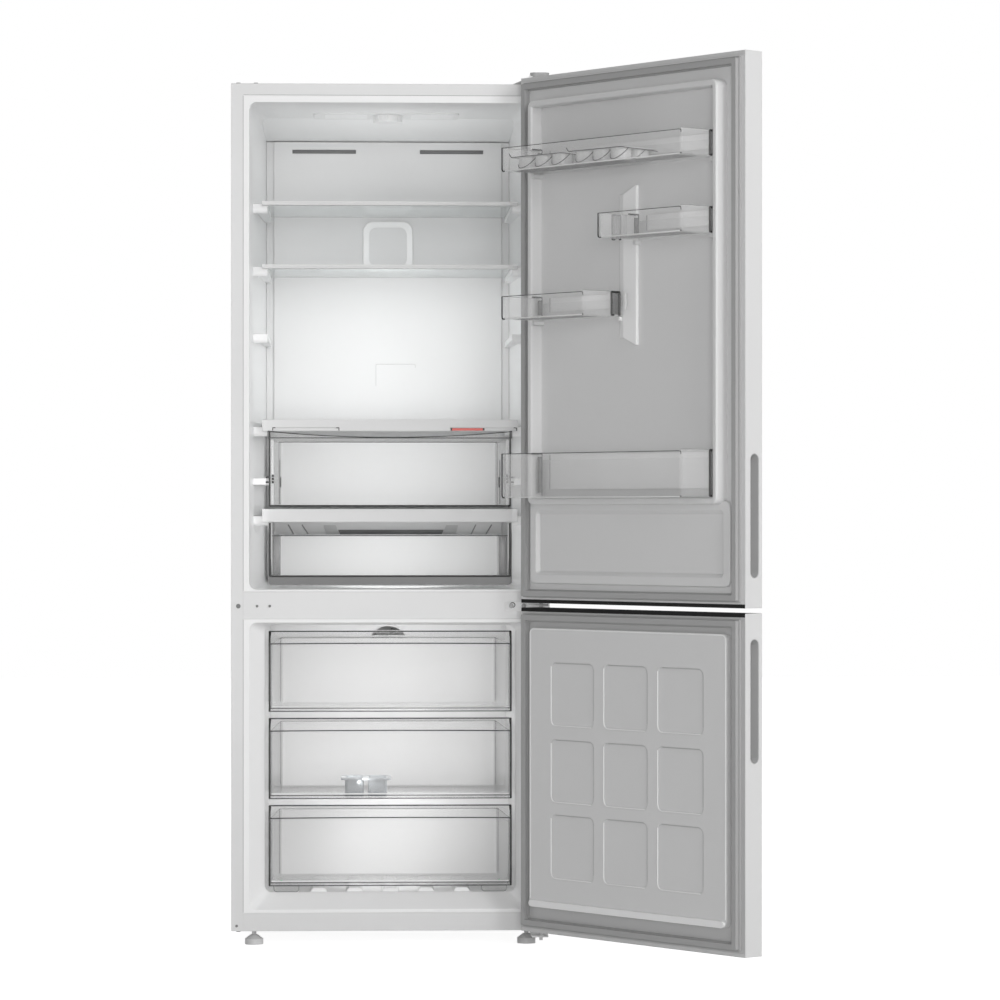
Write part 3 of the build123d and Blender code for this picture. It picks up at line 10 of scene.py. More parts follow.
import bmesh
import bpy
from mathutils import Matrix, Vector


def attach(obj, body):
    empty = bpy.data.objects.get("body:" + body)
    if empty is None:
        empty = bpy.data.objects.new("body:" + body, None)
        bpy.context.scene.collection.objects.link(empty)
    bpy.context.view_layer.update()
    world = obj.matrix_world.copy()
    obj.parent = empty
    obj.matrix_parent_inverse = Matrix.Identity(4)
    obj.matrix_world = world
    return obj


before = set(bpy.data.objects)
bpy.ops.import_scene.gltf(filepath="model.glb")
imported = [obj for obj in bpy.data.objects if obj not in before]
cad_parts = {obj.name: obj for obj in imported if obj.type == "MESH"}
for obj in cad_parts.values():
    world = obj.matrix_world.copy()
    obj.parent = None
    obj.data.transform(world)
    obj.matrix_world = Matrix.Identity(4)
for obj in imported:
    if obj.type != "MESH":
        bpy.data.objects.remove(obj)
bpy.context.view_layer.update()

# ---------------------------------------------------------------- places
MM = 0.001
CABINET_MIDDLE = Vector((-204.4752, 10.1077, 0.0))
OPEN_ANGLE = radians(128.4)
ALONG = Vector((-cos(OPEN_ANGLE), -sin(OPEN_ANGLE), 0.0))
OUTWARD = Vector((sin(OPEN_ANGLE), -cos(OPEN_ANGLE), 0.0))
PIN = Vector((328.3, -53.9, 0.0))
PIN_FROM_EDGE, PIN_FROM_FACE = 21.7, 38.9
DOOR_ORIGIN = PIN - PIN_FROM_EDGE * ALONG - PIN_FROM_FACE * OUTWARD


def cab(x, y, z):
    """A point of the cabinet, in metres in the row frame."""
    return (CABINET_MIDDLE + Vector((x, y, z))) * MM


def door(u, out, z):
    """A point of an open door, in metres in the row frame."""
    return (CABINET_MIDDLE + DOOR_ORIGIN + u * ALONG + out * OUTWARD + Vector((0.0, 0.0, z))) * MM


def food(u, inward, z):
    """A point before a door's inner face, in metres in the row frame."""
    return door(u, -inward, z)


# ---------------------------------------------------------------- materials
def linear(value):
    """One sRGB channel from 0 to 255, as the linear value that a shader takes."""
    share = value / 255
    return share / 12.92 if share <= 0.04045 else ((share + 0.055) / 1.055) ** 2.4


def grey(value, warmth=0.0):
    """A near-neutral colour as it is to be seen, from 0 to 255."""
    return (linear(value + warmth), linear(value), linear(value - warmth), 1.0)


def rgb(red, green, blue):
    """A colour as it is to be seen, from 0 to 255 a channel."""
    return (linear(red), linear(green), linear(blue), 1.0)


def shade(colour, factor):
    """A colour made darker or paler by a factor."""
    return tuple(min(1.0, channel * factor) for channel in colour[:3]) + (1.0,)


def surface(
    name, colour, rough=0.35, metal=0.0, mottle=0.03, mottle_scale=3.0, grain_scale=900.0,
    grain=0.02, rough_spread=0.06, alpha=1.0, edge_alpha=None, coat=0.0, specular=0.5, glow=0.0,
    stripes=None, soft=0.0,
):
    """A node-based material: slight clouding of the colour, uneven gloss and a fine moulded grain."""
    material = bpy.data.materials.new(name)
    material.use_nodes = True
    nodes, links = material.node_tree.nodes, material.node_tree.links
    shader = nodes["Principled BSDF"]
    shader.inputs["Metallic"].default_value = metal
    shader.inputs["Specular IOR Level"].default_value = specular
    shader.inputs["Coat Weight"].default_value = coat
    place = nodes.new("ShaderNodeTexCoord")

    cloud = nodes.new("ShaderNodeTexNoise")
    cloud.inputs["Scale"].default_value = mottle_scale
    cloud.inputs["Detail"].default_value = 4.0
    links.new(place.outputs["Object"], cloud.inputs["Vector"])
    tint = nodes.new("ShaderNodeValToRGB")
    tint.color_ramp.elements[0].position = 0.3
    tint.color_ramp.elements[1].position = 0.7
    tint.color_ramp.elements[0].color = shade(colour, 1.0 - mottle)
    tint.color_ramp.elements[1].color = shade(colour, 1.0 + mottle)
    links.new(cloud.outputs["Fac"], tint.inputs["Fac"])
    links.new(tint.outputs["Color"], shader.inputs["Base Color"])

    fine = nodes.new("ShaderNodeTexNoise")
    fine.inputs["Scale"].default_value = grain_scale
    fine.inputs["Detail"].default_value = 2.0
    links.new(place.outputs["Object"], fine.inputs["Vector"])
    gloss = nodes.new("ShaderNodeMapRange")
    gloss.inputs["To Min"].default_value = max(0.02, rough - rough_spread)
    gloss.inputs["To Max"].default_value = min(1.0, rough + rough_spread)
    links.new(cloud.outputs["Fac"], gloss.inputs["Value"])
    links.new(gloss.outputs["Result"], shader.inputs["Roughness"])

    relief = nodes.new("ShaderNodeBump")
    relief.inputs["Strength"].default_value = grain
    relief.inputs["Distance"].default_value = 0.001
    links.new(fine.outputs["Fac"], relief.inputs["Height"])
    links.new(relief.outputs["Normal"], shader.inputs["Normal"])
    if soft:
        rounding = nodes.new("ShaderNodeBevel")
        rounding.samples = 4
        rounding.inputs["Radius"].default_value = soft * MM
        links.new(rounding.outputs["Normal"], relief.inputs["Normal"])
    if stripes:
        axis, pitch, strength = stripes
        wave = nodes.new("ShaderNodeTexWave")
        wave.bands_direction = axis
        wave.inputs["Scale"].default_value = pi / (10.0 * pitch * MM)
        links.new(place.outputs["Object"], wave.inputs["Vector"])
        ridges = nodes.new("ShaderNodeBump")
        ridges.inputs["Strength"].default_value = strength
        ridges.inputs["Distance"].default_value = 0.001
        links.new(wave.outputs["Fac"], ridges.inputs["Height"])
        links.new(relief.outputs["Normal"], ridges.inputs["Normal"])
        links.new(ridges.outputs["Normal"], shader.inputs["Normal"])
    if edge_alpha is not None:
        facing = nodes.new("ShaderNodeLayerWeight")
        facing.inputs["Blend"].default_value = 0.35
        opacity = nodes.new("ShaderNodeMapRange")
        opacity.inputs["To Min"].default_value = alpha
        opacity.inputs["To Max"].default_value = edge_alpha
        links.new(facing.outputs["Facing"], opacity.inputs["Value"])
        links.new(opacity.outputs["Result"], shader.inputs["Alpha"])
    else:
        shader.inputs["Alpha"].default_value = alpha
    if glow:
        shader.inputs["Emission Color"].default_value = colour
        shader.inputs["Emission Strength"].default_value = glow
    return material


enamel = surface(
    "enamel", grey(221), rough=0.34, grain_scale=420, grain=0.05, mottle=0.006, coat=0.12, soft=1.2
)
liner_white = surface(
    "liner_white", grey(246), rough=0.36, grain_scale=700, grain=0.03, mottle=0.006, soft=2.5
)
fitting_white = surface(
    "fitting_white", grey(240), rough=0.32, grain_scale=900, grain=0.03, mottle=0.008, soft=1.2
)
# the back panel is the liner's white plastic; its darker colour is painted shade
panel_white_painted_shade = surface(
    "panel_white_painted_shade", grey(218), rough=0.42, grain_scale=1100, grain=0.05, mottle=0.008, soft=1.5
)
panel_grey = surface("panel_grey", grey(224), rough=0.5, grain_scale=1100, grain=0.08, mottle=0.01)
door_liner = surface(
    "door_liner", grey(222), rough=0.40, grain_scale=700, grain=0.03, mottle=0.008, soft=3.0
)
# copies of the door liner's white: a paler one for painted light on raised faces and lit edges, a darker one
# for painted shade on low faces and far edges
door_liner_painted_light = surface(
    "door_liner_painted_light", grey(248), rough=0.40, grain_scale=700, grain=0.03, mottle=0.008, soft=2.0
)
door_liner_painted_shade = surface(
    "door_liner_painted_shade", grey(196), rough=0.45, grain_scale=700, grain=0.03, mottle=0.01, soft=2.0
)
cover_white = surface(
    "cover_white", grey(216), rough=0.34, grain_scale=900, grain=0.03, mottle=0.008, soft=1.2
)
back_sheet = surface("back_sheet", grey(188), rough=0.45, metal=0.2, mottle=0.04, mottle_scale=12)
base_sheet = surface("base_sheet", grey(160), rough=0.42, metal=0.6, mottle=0.09, mottle_scale=40)
foam = surface("foam", rgb(232, 222, 184), rough=0.9, grain_scale=500, grain=0.4, mottle=0.05)
seal_grey = surface("seal_grey", grey(172), rough=0.62, grain_scale=1200, grain=0.08, mottle=0.02, soft=1.5)
cap_black = surface(
    "cap_black", grey(10), rough=0.6, specular=0.2, grain_scale=1500, grain=0.15, mottle=0.04
)
cap_pale = surface("cap_pale", grey(214), rough=0.45, grain_scale=1500, grain=0.10, mottle=0.02)
grip_grey = surface("grip_grey", grey(192), rough=0.42, grain_scale=1500, grain=0.10, mottle=0.03, soft=1.5)
clear_bin = surface(
    "clear_bin", grey(252), rough=0.10, alpha=0.09, edge_alpha=0.30, mottle=0.02, grain=0.01
)
clear_drawer = surface(
    "clear_drawer", grey(250), rough=0.14, alpha=0.09, edge_alpha=0.40, mottle=0.02, grain=0.02
)
clear_frosted = surface("clear_frosted", grey(240), rough=0.5, alpha=0.82, mottle=0.01, grain=0.04)
# dark lines of painted shade: along the edges of clear bins, drawers and trays, where refraction darkens
# clear plastic, and in grooves and gaps round small parts
painted_edge_shade = surface("painted_edge_shade", grey(40), rough=0.16, mottle=0.10, mottle_scale=18, grain=0.01)
painted_edge_shade_pale = surface(
    "painted_edge_shade_pale", grey(150), rough=0.16, mottle=0.08, mottle_scale=18, grain=0.01
)
painted_edge_shade_black = surface(
    "painted_edge_shade_black", grey(20), rough=0.18, mottle=0.12, mottle_scale=14, grain=0.01
)
clear_smoke = surface("clear_smoke", grey(130), rough=0.20, alpha=0.55, mottle=0.06, grain=0.02)
# painted highlights: bright strips on clear plastic where its gloss catches the light
clear_painted_highlight = surface("clear_painted_highlight", grey(250), rough=0.14, alpha=0.80, mottle=0.02, grain=0.01)
drawer_dark = surface("drawer_dark", grey(64), rough=0.25, mottle=0.08, mottle_scale=9, grain=0.03)
# a paler copy of drawer_dark, for painted light
drawer_dark_painted_light = surface(
    "drawer_dark_painted_light", grey(168), rough=0.25, mottle=0.06, mottle_scale=9, grain=0.03
)
shelf_glass = surface(
    "shelf_glass", rgb(222, 230, 230), rough=0.05, alpha=0.14, edge_alpha=0.5, mottle=0.02, grain=0.0
)
shelf_bar = surface("shelf_bar", grey(206), rough=0.30, grain_scale=900, grain=0.03, mottle=0.01, soft=1.0)
line_shadow = surface("line_shadow", grey(150), rough=0.5, mottle=0.03)
# grey tones of painted shade: soft lines along embossed and glass edges, and darker fill for hollows in the
# back panel
soft_painted_shade = surface("soft_painted_shade", grey(198), rough=0.5, mottle=0.02)
slot_painted_shade = surface("slot_painted_shade", grey(122), rough=0.6, mottle=0.04)
lens = surface("lens", grey(250), rough=0.4, mottle=0.01)
dial_white = surface("dial_white", grey(240), rough=0.3, mottle=0.01)
slider_red = surface("slider_red", rgb(206, 58, 44), rough=0.3, mottle=0.03)
mark_green = surface("mark_green", rgb(60, 190, 110), rough=0.4, mottle=0.03)
hinge_metal = surface("hinge_metal", grey(238), rough=0.45, mottle=0.04, mottle_scale=30)
hinge_cover = surface(
    "hinge_cover", grey(172), rough=0.45, grain_scale=1500, grain=0.12, mottle=0.02, soft=1.0
)
screw_steel = surface("screw_steel", grey(120), rough=0.4, metal=0.5, mottle=0.06, mottle_scale=60)
plug_plastic = surface("plug_plastic", grey(120), rough=0.5, mottle=0.03)
foot_plastic = surface(
    "foot_plastic", grey(214), rough=0.45, grain_scale=1500, grain=0.10, mottle=0.03, soft=0.8
)
roller_plastic = surface("roller_plastic", grey(60), rough=0.5, grain=0.1, mottle=0.05)
coil_alu = surface("coil_alu", grey(190), rough=0.35, metal=0.9, mottle=0.08, mottle_scale=50)
motor_black = surface("motor_black", grey(42), rough=0.5, grain=0.1)
fan_grey = surface("fan_grey", grey(150), rough=0.4, mottle=0.03)
compressor_black = surface(
    "compressor_black", grey(36), rough=0.36, grain_scale=500, grain=0.12, mottle=0.08, mottle_scale=20
)
tray_black = surface("tray_black", grey(48), rough=0.55, grain=0.15)
egg_clear = surface("egg_clear", grey(236), rough=0.15, alpha=0.60, edge_alpha=0.80, mottle=0.03)
# dark beads of painted shade round the egg cups
egg_painted_edge_shade = surface("egg_painted_edge_shade", grey(74), rough=0.2, alpha=0.85, mottle=0.05)
ice_clear = surface("ice_clear", rgb(170, 174, 177), rough=0.2, alpha=0.8, edge_alpha=0.95, mottle=0.03)

CAD_LOOKS = {
    enamel: ("outer_wrap", "front_rails", "upper_door_skin", "lower_door_skin"),
    liner_white: ("fridge_liner", "freezer_liner"),
    fitting_white: ("fan_cover", "ceiling_housing", "drawer_runners", "freezer_back_cover"),
    cover_white: ("chill_cover_frame", "crisper_cover_frame"),
    panel_white_painted_shade: ("fridge_back_panel",),
    shelf_bar: ("shelf_trims",),
    door_liner: ("upper_door_liner", "lower_door_liner"),
    back_sheet: ("back_plate",),
    base_sheet: ("base_frame",),
    foam: ("cabinet_foam", "upper_door_foam", "lower_door_foam"),
    seal_grey: ("upper_door_gasket", "lower_door_gasket"),
    cap_black: ("upper_door_caps", "lower_door_caps"),
    grip_grey: ("upper_door_grip", "lower_door_grip"),
    clear_bin: ("top_bin", "upper_half_bin", "lower_half_bin", "bottom_bin"),
    clear_drawer: (
        "chill_drawer", "crisper_drawer", "top_freezer_drawer", "middle_freezer_drawer",
        "bottom_freezer_drawer",
    ),
    drawer_dark: ("crisper_front",),
    shelf_glass: ("shelf_glasses", "cover_glasses"),
    lens: ("lamp_lens",),
    dial_white: ("temperature_dial",),
    slider_red: ("humidity_slider",),
    hinge_metal: ("top_hinge", "mid_hinge", "bottom_hinge"),
    hinge_cover: ("top_hinge_cover",),
    screw_steel: ("hinge_screws",),
    plug_plastic: ("blanking_plugs",),
    foot_plastic: ("left_foot", "right_foot"),
    roller_plastic: ("rear_rollers",),
    coil_alu: ("evaporator",),
    motor_black: ("fan_motor", "condenser_coil"),
    fan_grey: ("evaporator_fan",),
    compressor_black: ("compressor",),
    tray_black: ("evaporation_tray", "control_box"),
    egg_clear: ("egg_trays",),
    ice_clear: ("ice_tray",),
}
for material, names in CAD_LOOKS.items():
    for name in names:
        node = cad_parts[name]
        node.data.materials.clear()
        node.data.materials.append(material)


def repaint(name, material, chosen):
    """Give another material to the faces of a CAD node that a test on their middle and normal chooses."""
    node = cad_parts[name]
    data = node.data
    data.materials.append(material)
    for polygon in data.polygons:
        if chosen(node.matrix_world @ polygon.center, polygon.normal):
            polygon.material_index = len(data.materials) - 1


front_y = CABINET_MIDDLE.y * MM
# the doors' outer end caps are pale, their caps at the middle hinge stay black
TOP_CAP_FROM, BOTTOM_CAP_TO = 1.5, 0.3  # metres
repaint("upper_door_caps", cap_pale, lambda at, normal: at.z > TOP_CAP_FROM)
repaint("lower_door_caps", cap_pale, lambda at, normal: at.z < BOTTOM_CAP_TO)
# the fan cover's dished middle
PANEL_FRONT, FAN_COVER_RISE, DISH_DEPTH, SLACK = 520.0, 8.0, 2.0, 0.3
dish_y = front_y + (PANEL_FRONT - FAN_COVER_RISE + DISH_DEPTH - SLACK) * MM
FACES_FRONT = -0.9
repaint("fan_cover", panel_grey, lambda at, normal: normal.y < FACES_FRONT and at.y > dish_y)


def before_liner(at):
    """How far a point in metres is along its door, and how far before it towards the food, in millimetres."""
    offset = Vector((at.x, at.y, 0.0)) / MM - CABINET_MIDDLE - DOOR_ORIGIN
    return offset.dot(ALONG), -offset.dot(OUTWARD)


POST_ALONG, POST_INWARD, POST_UP = (322.0, 380.0), (1.0, 8.2), (1.303, 1.642)
BASE_SLACK = 0.6
RIDGE_FROM = 13.5


def on_post(at, normal):
    """On the raised post between the upper door's two half bins."""
    places = zip((*before_liner(at), at.z), (POST_ALONG, POST_INWARD, POST_UP))
    return all(low < place < high for place, (low, high) in places)


def on_lower_base(at, normal):
    """On the lowest face of the lower door's liner."""
    return abs(before_liner(at)[1]) < BASE_SLACK


def on_ridge(at, normal):
    """On the ridge round the lower door's plate."""
    return before_liner(at)[1] > RIDGE_FROM


# painted light on the upper door's raised post and the lower door's ridge, and painted shade on the lower
# door liner's lowest faces
repaint("upper_door_liner", door_liner_painted_light, on_post)
repaint("lower_door_liner", door_liner_painted_shade, on_lower_base)
repaint("lower_door_liner", door_liner_painted_light, on_ridge)
DRAWER_BACKS = {
    "chill_drawer": 455.0, "crisper_drawer": 440.0, "top_freezer_drawer": 455.0,
    "middle_freezer_drawer": 455.0, "bottom_freezer_drawer": 320.0,
}
BACK_WALL_REACH, FACES_AWAY = 8.0, 0.8
for name, y in DRAWER_BACKS.items():
    far = front_y + (y - BACK_WALL_REACH) * MM
    repaint(name, clear_frosted, lambda at, normal: abs(normal.y) > FACES_AWAY and at.y > far)
# painted light: the crisper front's forward faces above this height are paler than its dark lower part
CRISPER_PAINTED_LIGHT_FROM = 0.86  # metres
repaint(
    "crisper_front", drawer_dark_painted_light, lambda at, normal: normal.y < FACES_FRONT and at.z > CRISPER_PAINTED_LIGHT_FROM
)


# ---------------------------------------------------------------- detail pieces
SHARP_FROM = 50.0  # degrees between faces
CURVE_STEPS = 5  # pieces of a rounded corner


class Piece:
    """The mesh of one detail while it is put together, from sizes in millimetres."""

    def __init__(self, place=cab):
        self.mesh = bmesh.new()
        self.place = place

    def block(self, low, high, bevel=0.4):
        """A straight block with softened edges."""
        spans = list(zip(low, high))
        corners = [(x, y, z) for x in spans[0] for y in spans[1] for z in spans[2]]
        verts = [self.mesh.verts.new(self.place(*corner)) for corner in corners]
        sides = ((0, 1, 3, 2), (4, 6, 7, 5), (0, 4, 5, 1), (2, 3, 7, 6), (0, 2, 6, 4), (1, 5, 7, 3))
        faces = [self.mesh.faces.new([verts[corner] for corner in side]) for side in sides]
        self.soften(faces, bevel)

    def plate(self, outline, thickness, bevel=0.3):
        """A polygon with softened edges, thickened along a direction."""
        near = [self.mesh.verts.new(self.place(*point)) for point in outline]
        shifted = [[a + b for a, b in zip(point, thickness)] for point in outline]
        far = [self.mesh.verts.new(self.place(*point)) for point in shifted]
        faces = [self.mesh.faces.new(near), self.mesh.faces.new(far[::-1])]
        for index in range(len(near)):
            after = (index + 1) % len(near)
            faces.append(self.mesh.faces.new([near[index], far[index], far[after], near[after]]))
        self.soften(faces, bevel)

    def soften(self, faces, bevel):
        """Turn new faces outward and bevel their edges."""
        bmesh.ops.recalc_face_normals(self.mesh, faces=faces)
        edges = list({edge for face in faces for edge in face.edges})
        if bevel:
            bmesh.ops.bevel(
                self.mesh, geom=edges, offset=bevel * MM, offset_type="OFFSET", segments=2, profile=0.5,
                affect="EDGES", clamp_overlap=True,
            )

    def tube(self, points, radius, bend=0.0, closed=False, sides=8):
        """A round bead along a line of points, mitred or rounded at its corners."""
        line = [self.place(*point) for point in rounded(points, bend, closed)]
        count = len(line)
        heading = (line[1] - line[0]).normalized()
        across = heading.orthogonal().normalized()
        rings = []
        for index, at in enumerate(line):
            arriving, leaving = heading, heading
            if index or closed:
                arriving = (at - line[index - 1]).normalized()
            if index < count - 1 or closed:
                leaving = (line[(index + 1) % count] - at).normalized()
            if not index and not closed:
                arriving = leaving
            across = heading.rotation_difference(arriving) @ across
            heading = arriving
            bisector = (arriving + leaving).normalized()
            beside = heading.cross(across)
            ring = []
            for step in range(sides):
                angle = 2.0 * pi * step / sides
                spoke = (cos(angle) * across + sin(angle) * beside) * radius * MM
                spoke -= heading * (spoke.dot(bisector) / heading.dot(bisector))
                ring.append(self.mesh.verts.new(at + spoke))
            rings.append(ring)
        pairs = list(zip(rings, rings[1:])) + ([(rings[-1], rings[0])] if closed else [])
        for near, far in pairs:
            for step in range(sides):
                after = (step + 1) % sides
                self.mesh.faces.new([near[step], near[after], far[after], far[step]])
        if not closed:
            self.mesh.faces.new(rings[0][::-1])
            self.mesh.faces.new(rings[-1])

    def finish(self, name, material, body, slot):
        """Turn the mesh into an object that rides on a body."""
        bmesh.ops.recalc_face_normals(self.mesh, faces=self.mesh.faces[:])
        data = bpy.data.meshes.new(name)
        self.mesh.to_mesh(data)
        self.mesh.free()
        data.polygons.foreach_set("use_smooth", [True] * len(data.polygons))
        data.set_sharp_from_angle(angle=radians(SHARP_FROM))
        data.materials.append(material)
        piece = bpy.data.objects.new(name, data)
        bpy.context.scene.collection.objects.link(piece)
        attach(piece, body)
        return piece


def rounded(points, bend, closed):
    """The line of points with each corner replaced by a short curve."""
    spots = [Vector(point) for point in points]
    if not bend:
        return spots
    line = []
    count = len(spots)
    for index, spot in enumerate(spots):
        if not closed and index in (0, count - 1):
            line.append(spot)
            continue
        before, after = spots[index - 1], spots[(index + 1) % count]
        near = spot + (before - spot).normalized() * min(bend, (before - spot).length * 0.49)
        far = spot + (after - spot).normalized() * min(bend, (after - spot).length * 0.49)
        for step in range(CURVE_STEPS + 1):
            share = step / CURVE_STEPS
            line.append(near.lerp(spot, share).lerp(spot.lerp(far, share), share))
    return line


def circle(u, v, z, radius, steps=28):
    """The points of a level circle."""
    turns = [2 * pi * step / steps for step in range(steps)]
    return [(u + radius * cos(turn), v + radius * sin(turn), z) for turn in turns]


def span(sign, near, far):
    """A stretch across the cabinet, on the side that the sign names, from its lower X to its higher X."""
    return sorted((sign * near, sign * far))


# ---- bins on the upper door: dark lines of painted shade along their edges and clips, and strips of painted highlight on their fronts and back walls
BINS = {  # name: its ends along the door, its underside and its rim
    "top_bin": (70.0, 630.0, 1683.0, 1734.0),
    "upper_half_bin": (378.0, 630.0, 1524.5, 1576.0),
    "lower_half_bin": (70.0, 330.0, 1365.0, 1414.5),
    "bottom_bin": (70.0, 630.0, 981.0, 1076.0),
}
FRONT, BACK = 115.2, 6.0
CLIP_BACK, CLIP_LIP, CLIP_FRONT = 11.5, 27.0, 34.0
SHORT_WALL = 45.0  # the upper half bin's outer clip, before its start
HOOK_FROM_END, HOOK_BACK, HOOK_FRONT = 9.0, 8.6, 37.0
HOOK_WINDOW_BACK, HOOK_WINDOW_FRONT = 9.0, 20.0
RIB_PITCH, RIB_MARGIN, RIB_BACK, RIB_FRONT = 4.6, 24, 48.0, 104.0
for name, (start, end, low, high) in BINS.items():
    thick, thin, pale, clear, bright, smoke = (Piece(food) for _ in range(6))
    left, right = start - 0.1, end + 0.1
    thick.tube([(left + 9, FRONT, low + 0.9), (left, FRONT, low + 0.9), (left, FRONT, high)], 1.5, bend=7)
    thick.tube([(left + 9, FRONT - 2, low + 0.9), (left + 40, FRONT - 2, low + 0.9)], 0.5)
    rim = [(left, FRONT, high), (right - 6, FRONT, high), (right, FRONT, high - 1), (right, FRONT, high - 7)]
    thin.tube(rim, 0.75, bend=3)
    thick.block((right - 2.2, FRONT - 1.5, low + 0.6), (right + 0.4, FRONT + 0.5, low + 3.2), 0.5)
    pale.tube([(left, FRONT, high), (left, BACK + 3, high)], 0.5)
    pale.tube([(right, FRONT, high + 3.6), (right, BACK + 6, high + 3.6)], 0.5)
    clear.block((end - 2.4, 38.0, high - 0.5), (end, FRONT, high + 3.8), 0.4)
    bright.block((start + 9, FRONT - 1.6, low + 0.2), (end - 3, FRONT + 0.5, low + 2.6), 0.5)
    # clips: one at the free end, and one more where the upper half bin ends short of the hinge
    clips = [end + 0.4]
    if name == "upper_half_bin":
        clips.append(start - SHORT_WALL)
        clear.block((start - SHORT_WALL - 1.4, 33.6, low + 2), (start + 1.0, 35.4, high), 0.4)
    for at in clips:
        clip_top, clip_bottom = high + 2, low + 3
        over = ((CLIP_BACK, low + 2), (CLIP_BACK, clip_top), (CLIP_FRONT, clip_top))
        thick.tube([(at, inward, z) for inward, z in over], 2.6, bend=2)
        returning = ((CLIP_FRONT, clip_top), (CLIP_FRONT, clip_bottom), (CLIP_LIP, clip_bottom))
        thick.tube([(at, inward, z) for inward, z in returning], 2.0, bend=1)
        smoke.block((at - 0.6, CLIP_BACK + 1, low + 4), (at + 0.6, CLIP_FRONT - 1, high + 0.5), 0.3)
    # hook at the hinge end, with a smoked window under it
    hook = start + HOOK_FROM_END
    thick.tube([(hook, HOOK_FRONT, high + 1.4), (hook, HOOK_BACK, high + 1.4)], 1.7)
    thin.tube([(hook, HOOK_BACK, high + 1.4), (hook, HOOK_BACK, low + 3)], 0.9)
    smoke.block((hook - 0.6, HOOK_WINDOW_BACK, low + 13), (hook + 0.6, HOOK_WINDOW_FRONT, high - 6), 0.3)
    corners = (
        (HOOK_WINDOW_BACK, high - 6), (HOOK_WINDOW_FRONT, high - 6),
        (HOOK_WINDOW_FRONT, low + 13), (HOOK_WINDOW_BACK, low + 13),
    )
    thin.tube([(hook, inward, z) for inward, z in corners], 0.7)
    thin.tube([(start + 33, BACK, high - 1), (start + 33, BACK, low + 19)], 1.2)
    bright.block((start + 34, BACK, low + 19), (end - 9, BACK + 1.2, high - 1), 0.3)
    if name != "bottom_bin":
        for number in range(int((end - start - 40) / RIB_PITCH)):
            u = start + RIB_MARGIN + number * RIB_PITCH
            pale.tube([(u, RIB_BACK, low + 0.2), (u, RIB_FRONT, low + 0.2)], 0.32, sides=5)
    thick.finish(f"{name}_edges", painted_edge_shade, name, "clear_bin")
    thin.finish(f"{name}_rim", painted_edge_shade, name, "clear_bin")
    pale.finish(f"{name}_far_rim", painted_edge_shade_pale, name, "clear_bin")
    clear.finish(f"{name}_end", clear_bin, name, "clear_bin")
    bright.finish(f"{name}_glints", clear_painted_highlight, name, "clear_bin")
    smoke.finish(f"{name}_clips", clear_smoke, name, "clear_bin")

# ---- egg trays, with dark lines of painted shade along their edges and round their cups
EGG_TOP, EGG_FRONT, EGG_LENGTH = 1712.0, 112, 169.0
EGG_STARTS = (93.0, 277.0)
CUP_PITCH, CUP_ROW_PITCH, CUP_ROWS_MIDDLE = 54.0, 49.0, 60.0
CUP_RIM, BOWL_RADIUS, BOWL_DEPTH = 20.4, 22.6, 23.0
edges, cups = Piece(food), Piece(food)
for start in EGG_STARTS:
    end = start + EGG_LENGTH
    lip = ((start - 3, EGG_TOP + 8), (start + 4, EGG_TOP), (start + 26, EGG_TOP), (end, EGG_TOP - 1))
    edges.tube([(u, EGG_FRONT, z) for u, z in lip], 1.0, bend=3)
    edges.tube([(end, EGG_FRONT, EGG_TOP - 1), (end, 60, EGG_TOP - 3), (end, 8.5, EGG_TOP - 5)], 0.9)
    for column in (-1, 0, 1):
        for row in (-0.5, 0.5):
            u, inward = start + EGG_LENGTH / 2 + column * CUP_PITCH, CUP_ROWS_MIDDLE + row * CUP_ROW_PITCH
            cups.tube(circle(u, inward, EGG_TOP + 0.5, CUP_RIM), 1.0, closed=True)
            bowl = []
            for turn in (pi * step / 14 for step in range(15)):
                x, y = u + BOWL_RADIUS * cos(turn), inward + BOWL_RADIUS * sin(turn)
                bowl.append((x, y, EGG_TOP - 1.0 - BOWL_DEPTH * sin(turn)))
            cups.tube(bowl, 0.9)
edges.finish("egg_tray_edges", painted_edge_shade, "egg_trays", "egg_tray_clear")
cups.finish("egg_cup_beads", egg_painted_edge_shade, "egg_trays", "egg_tray_clear")

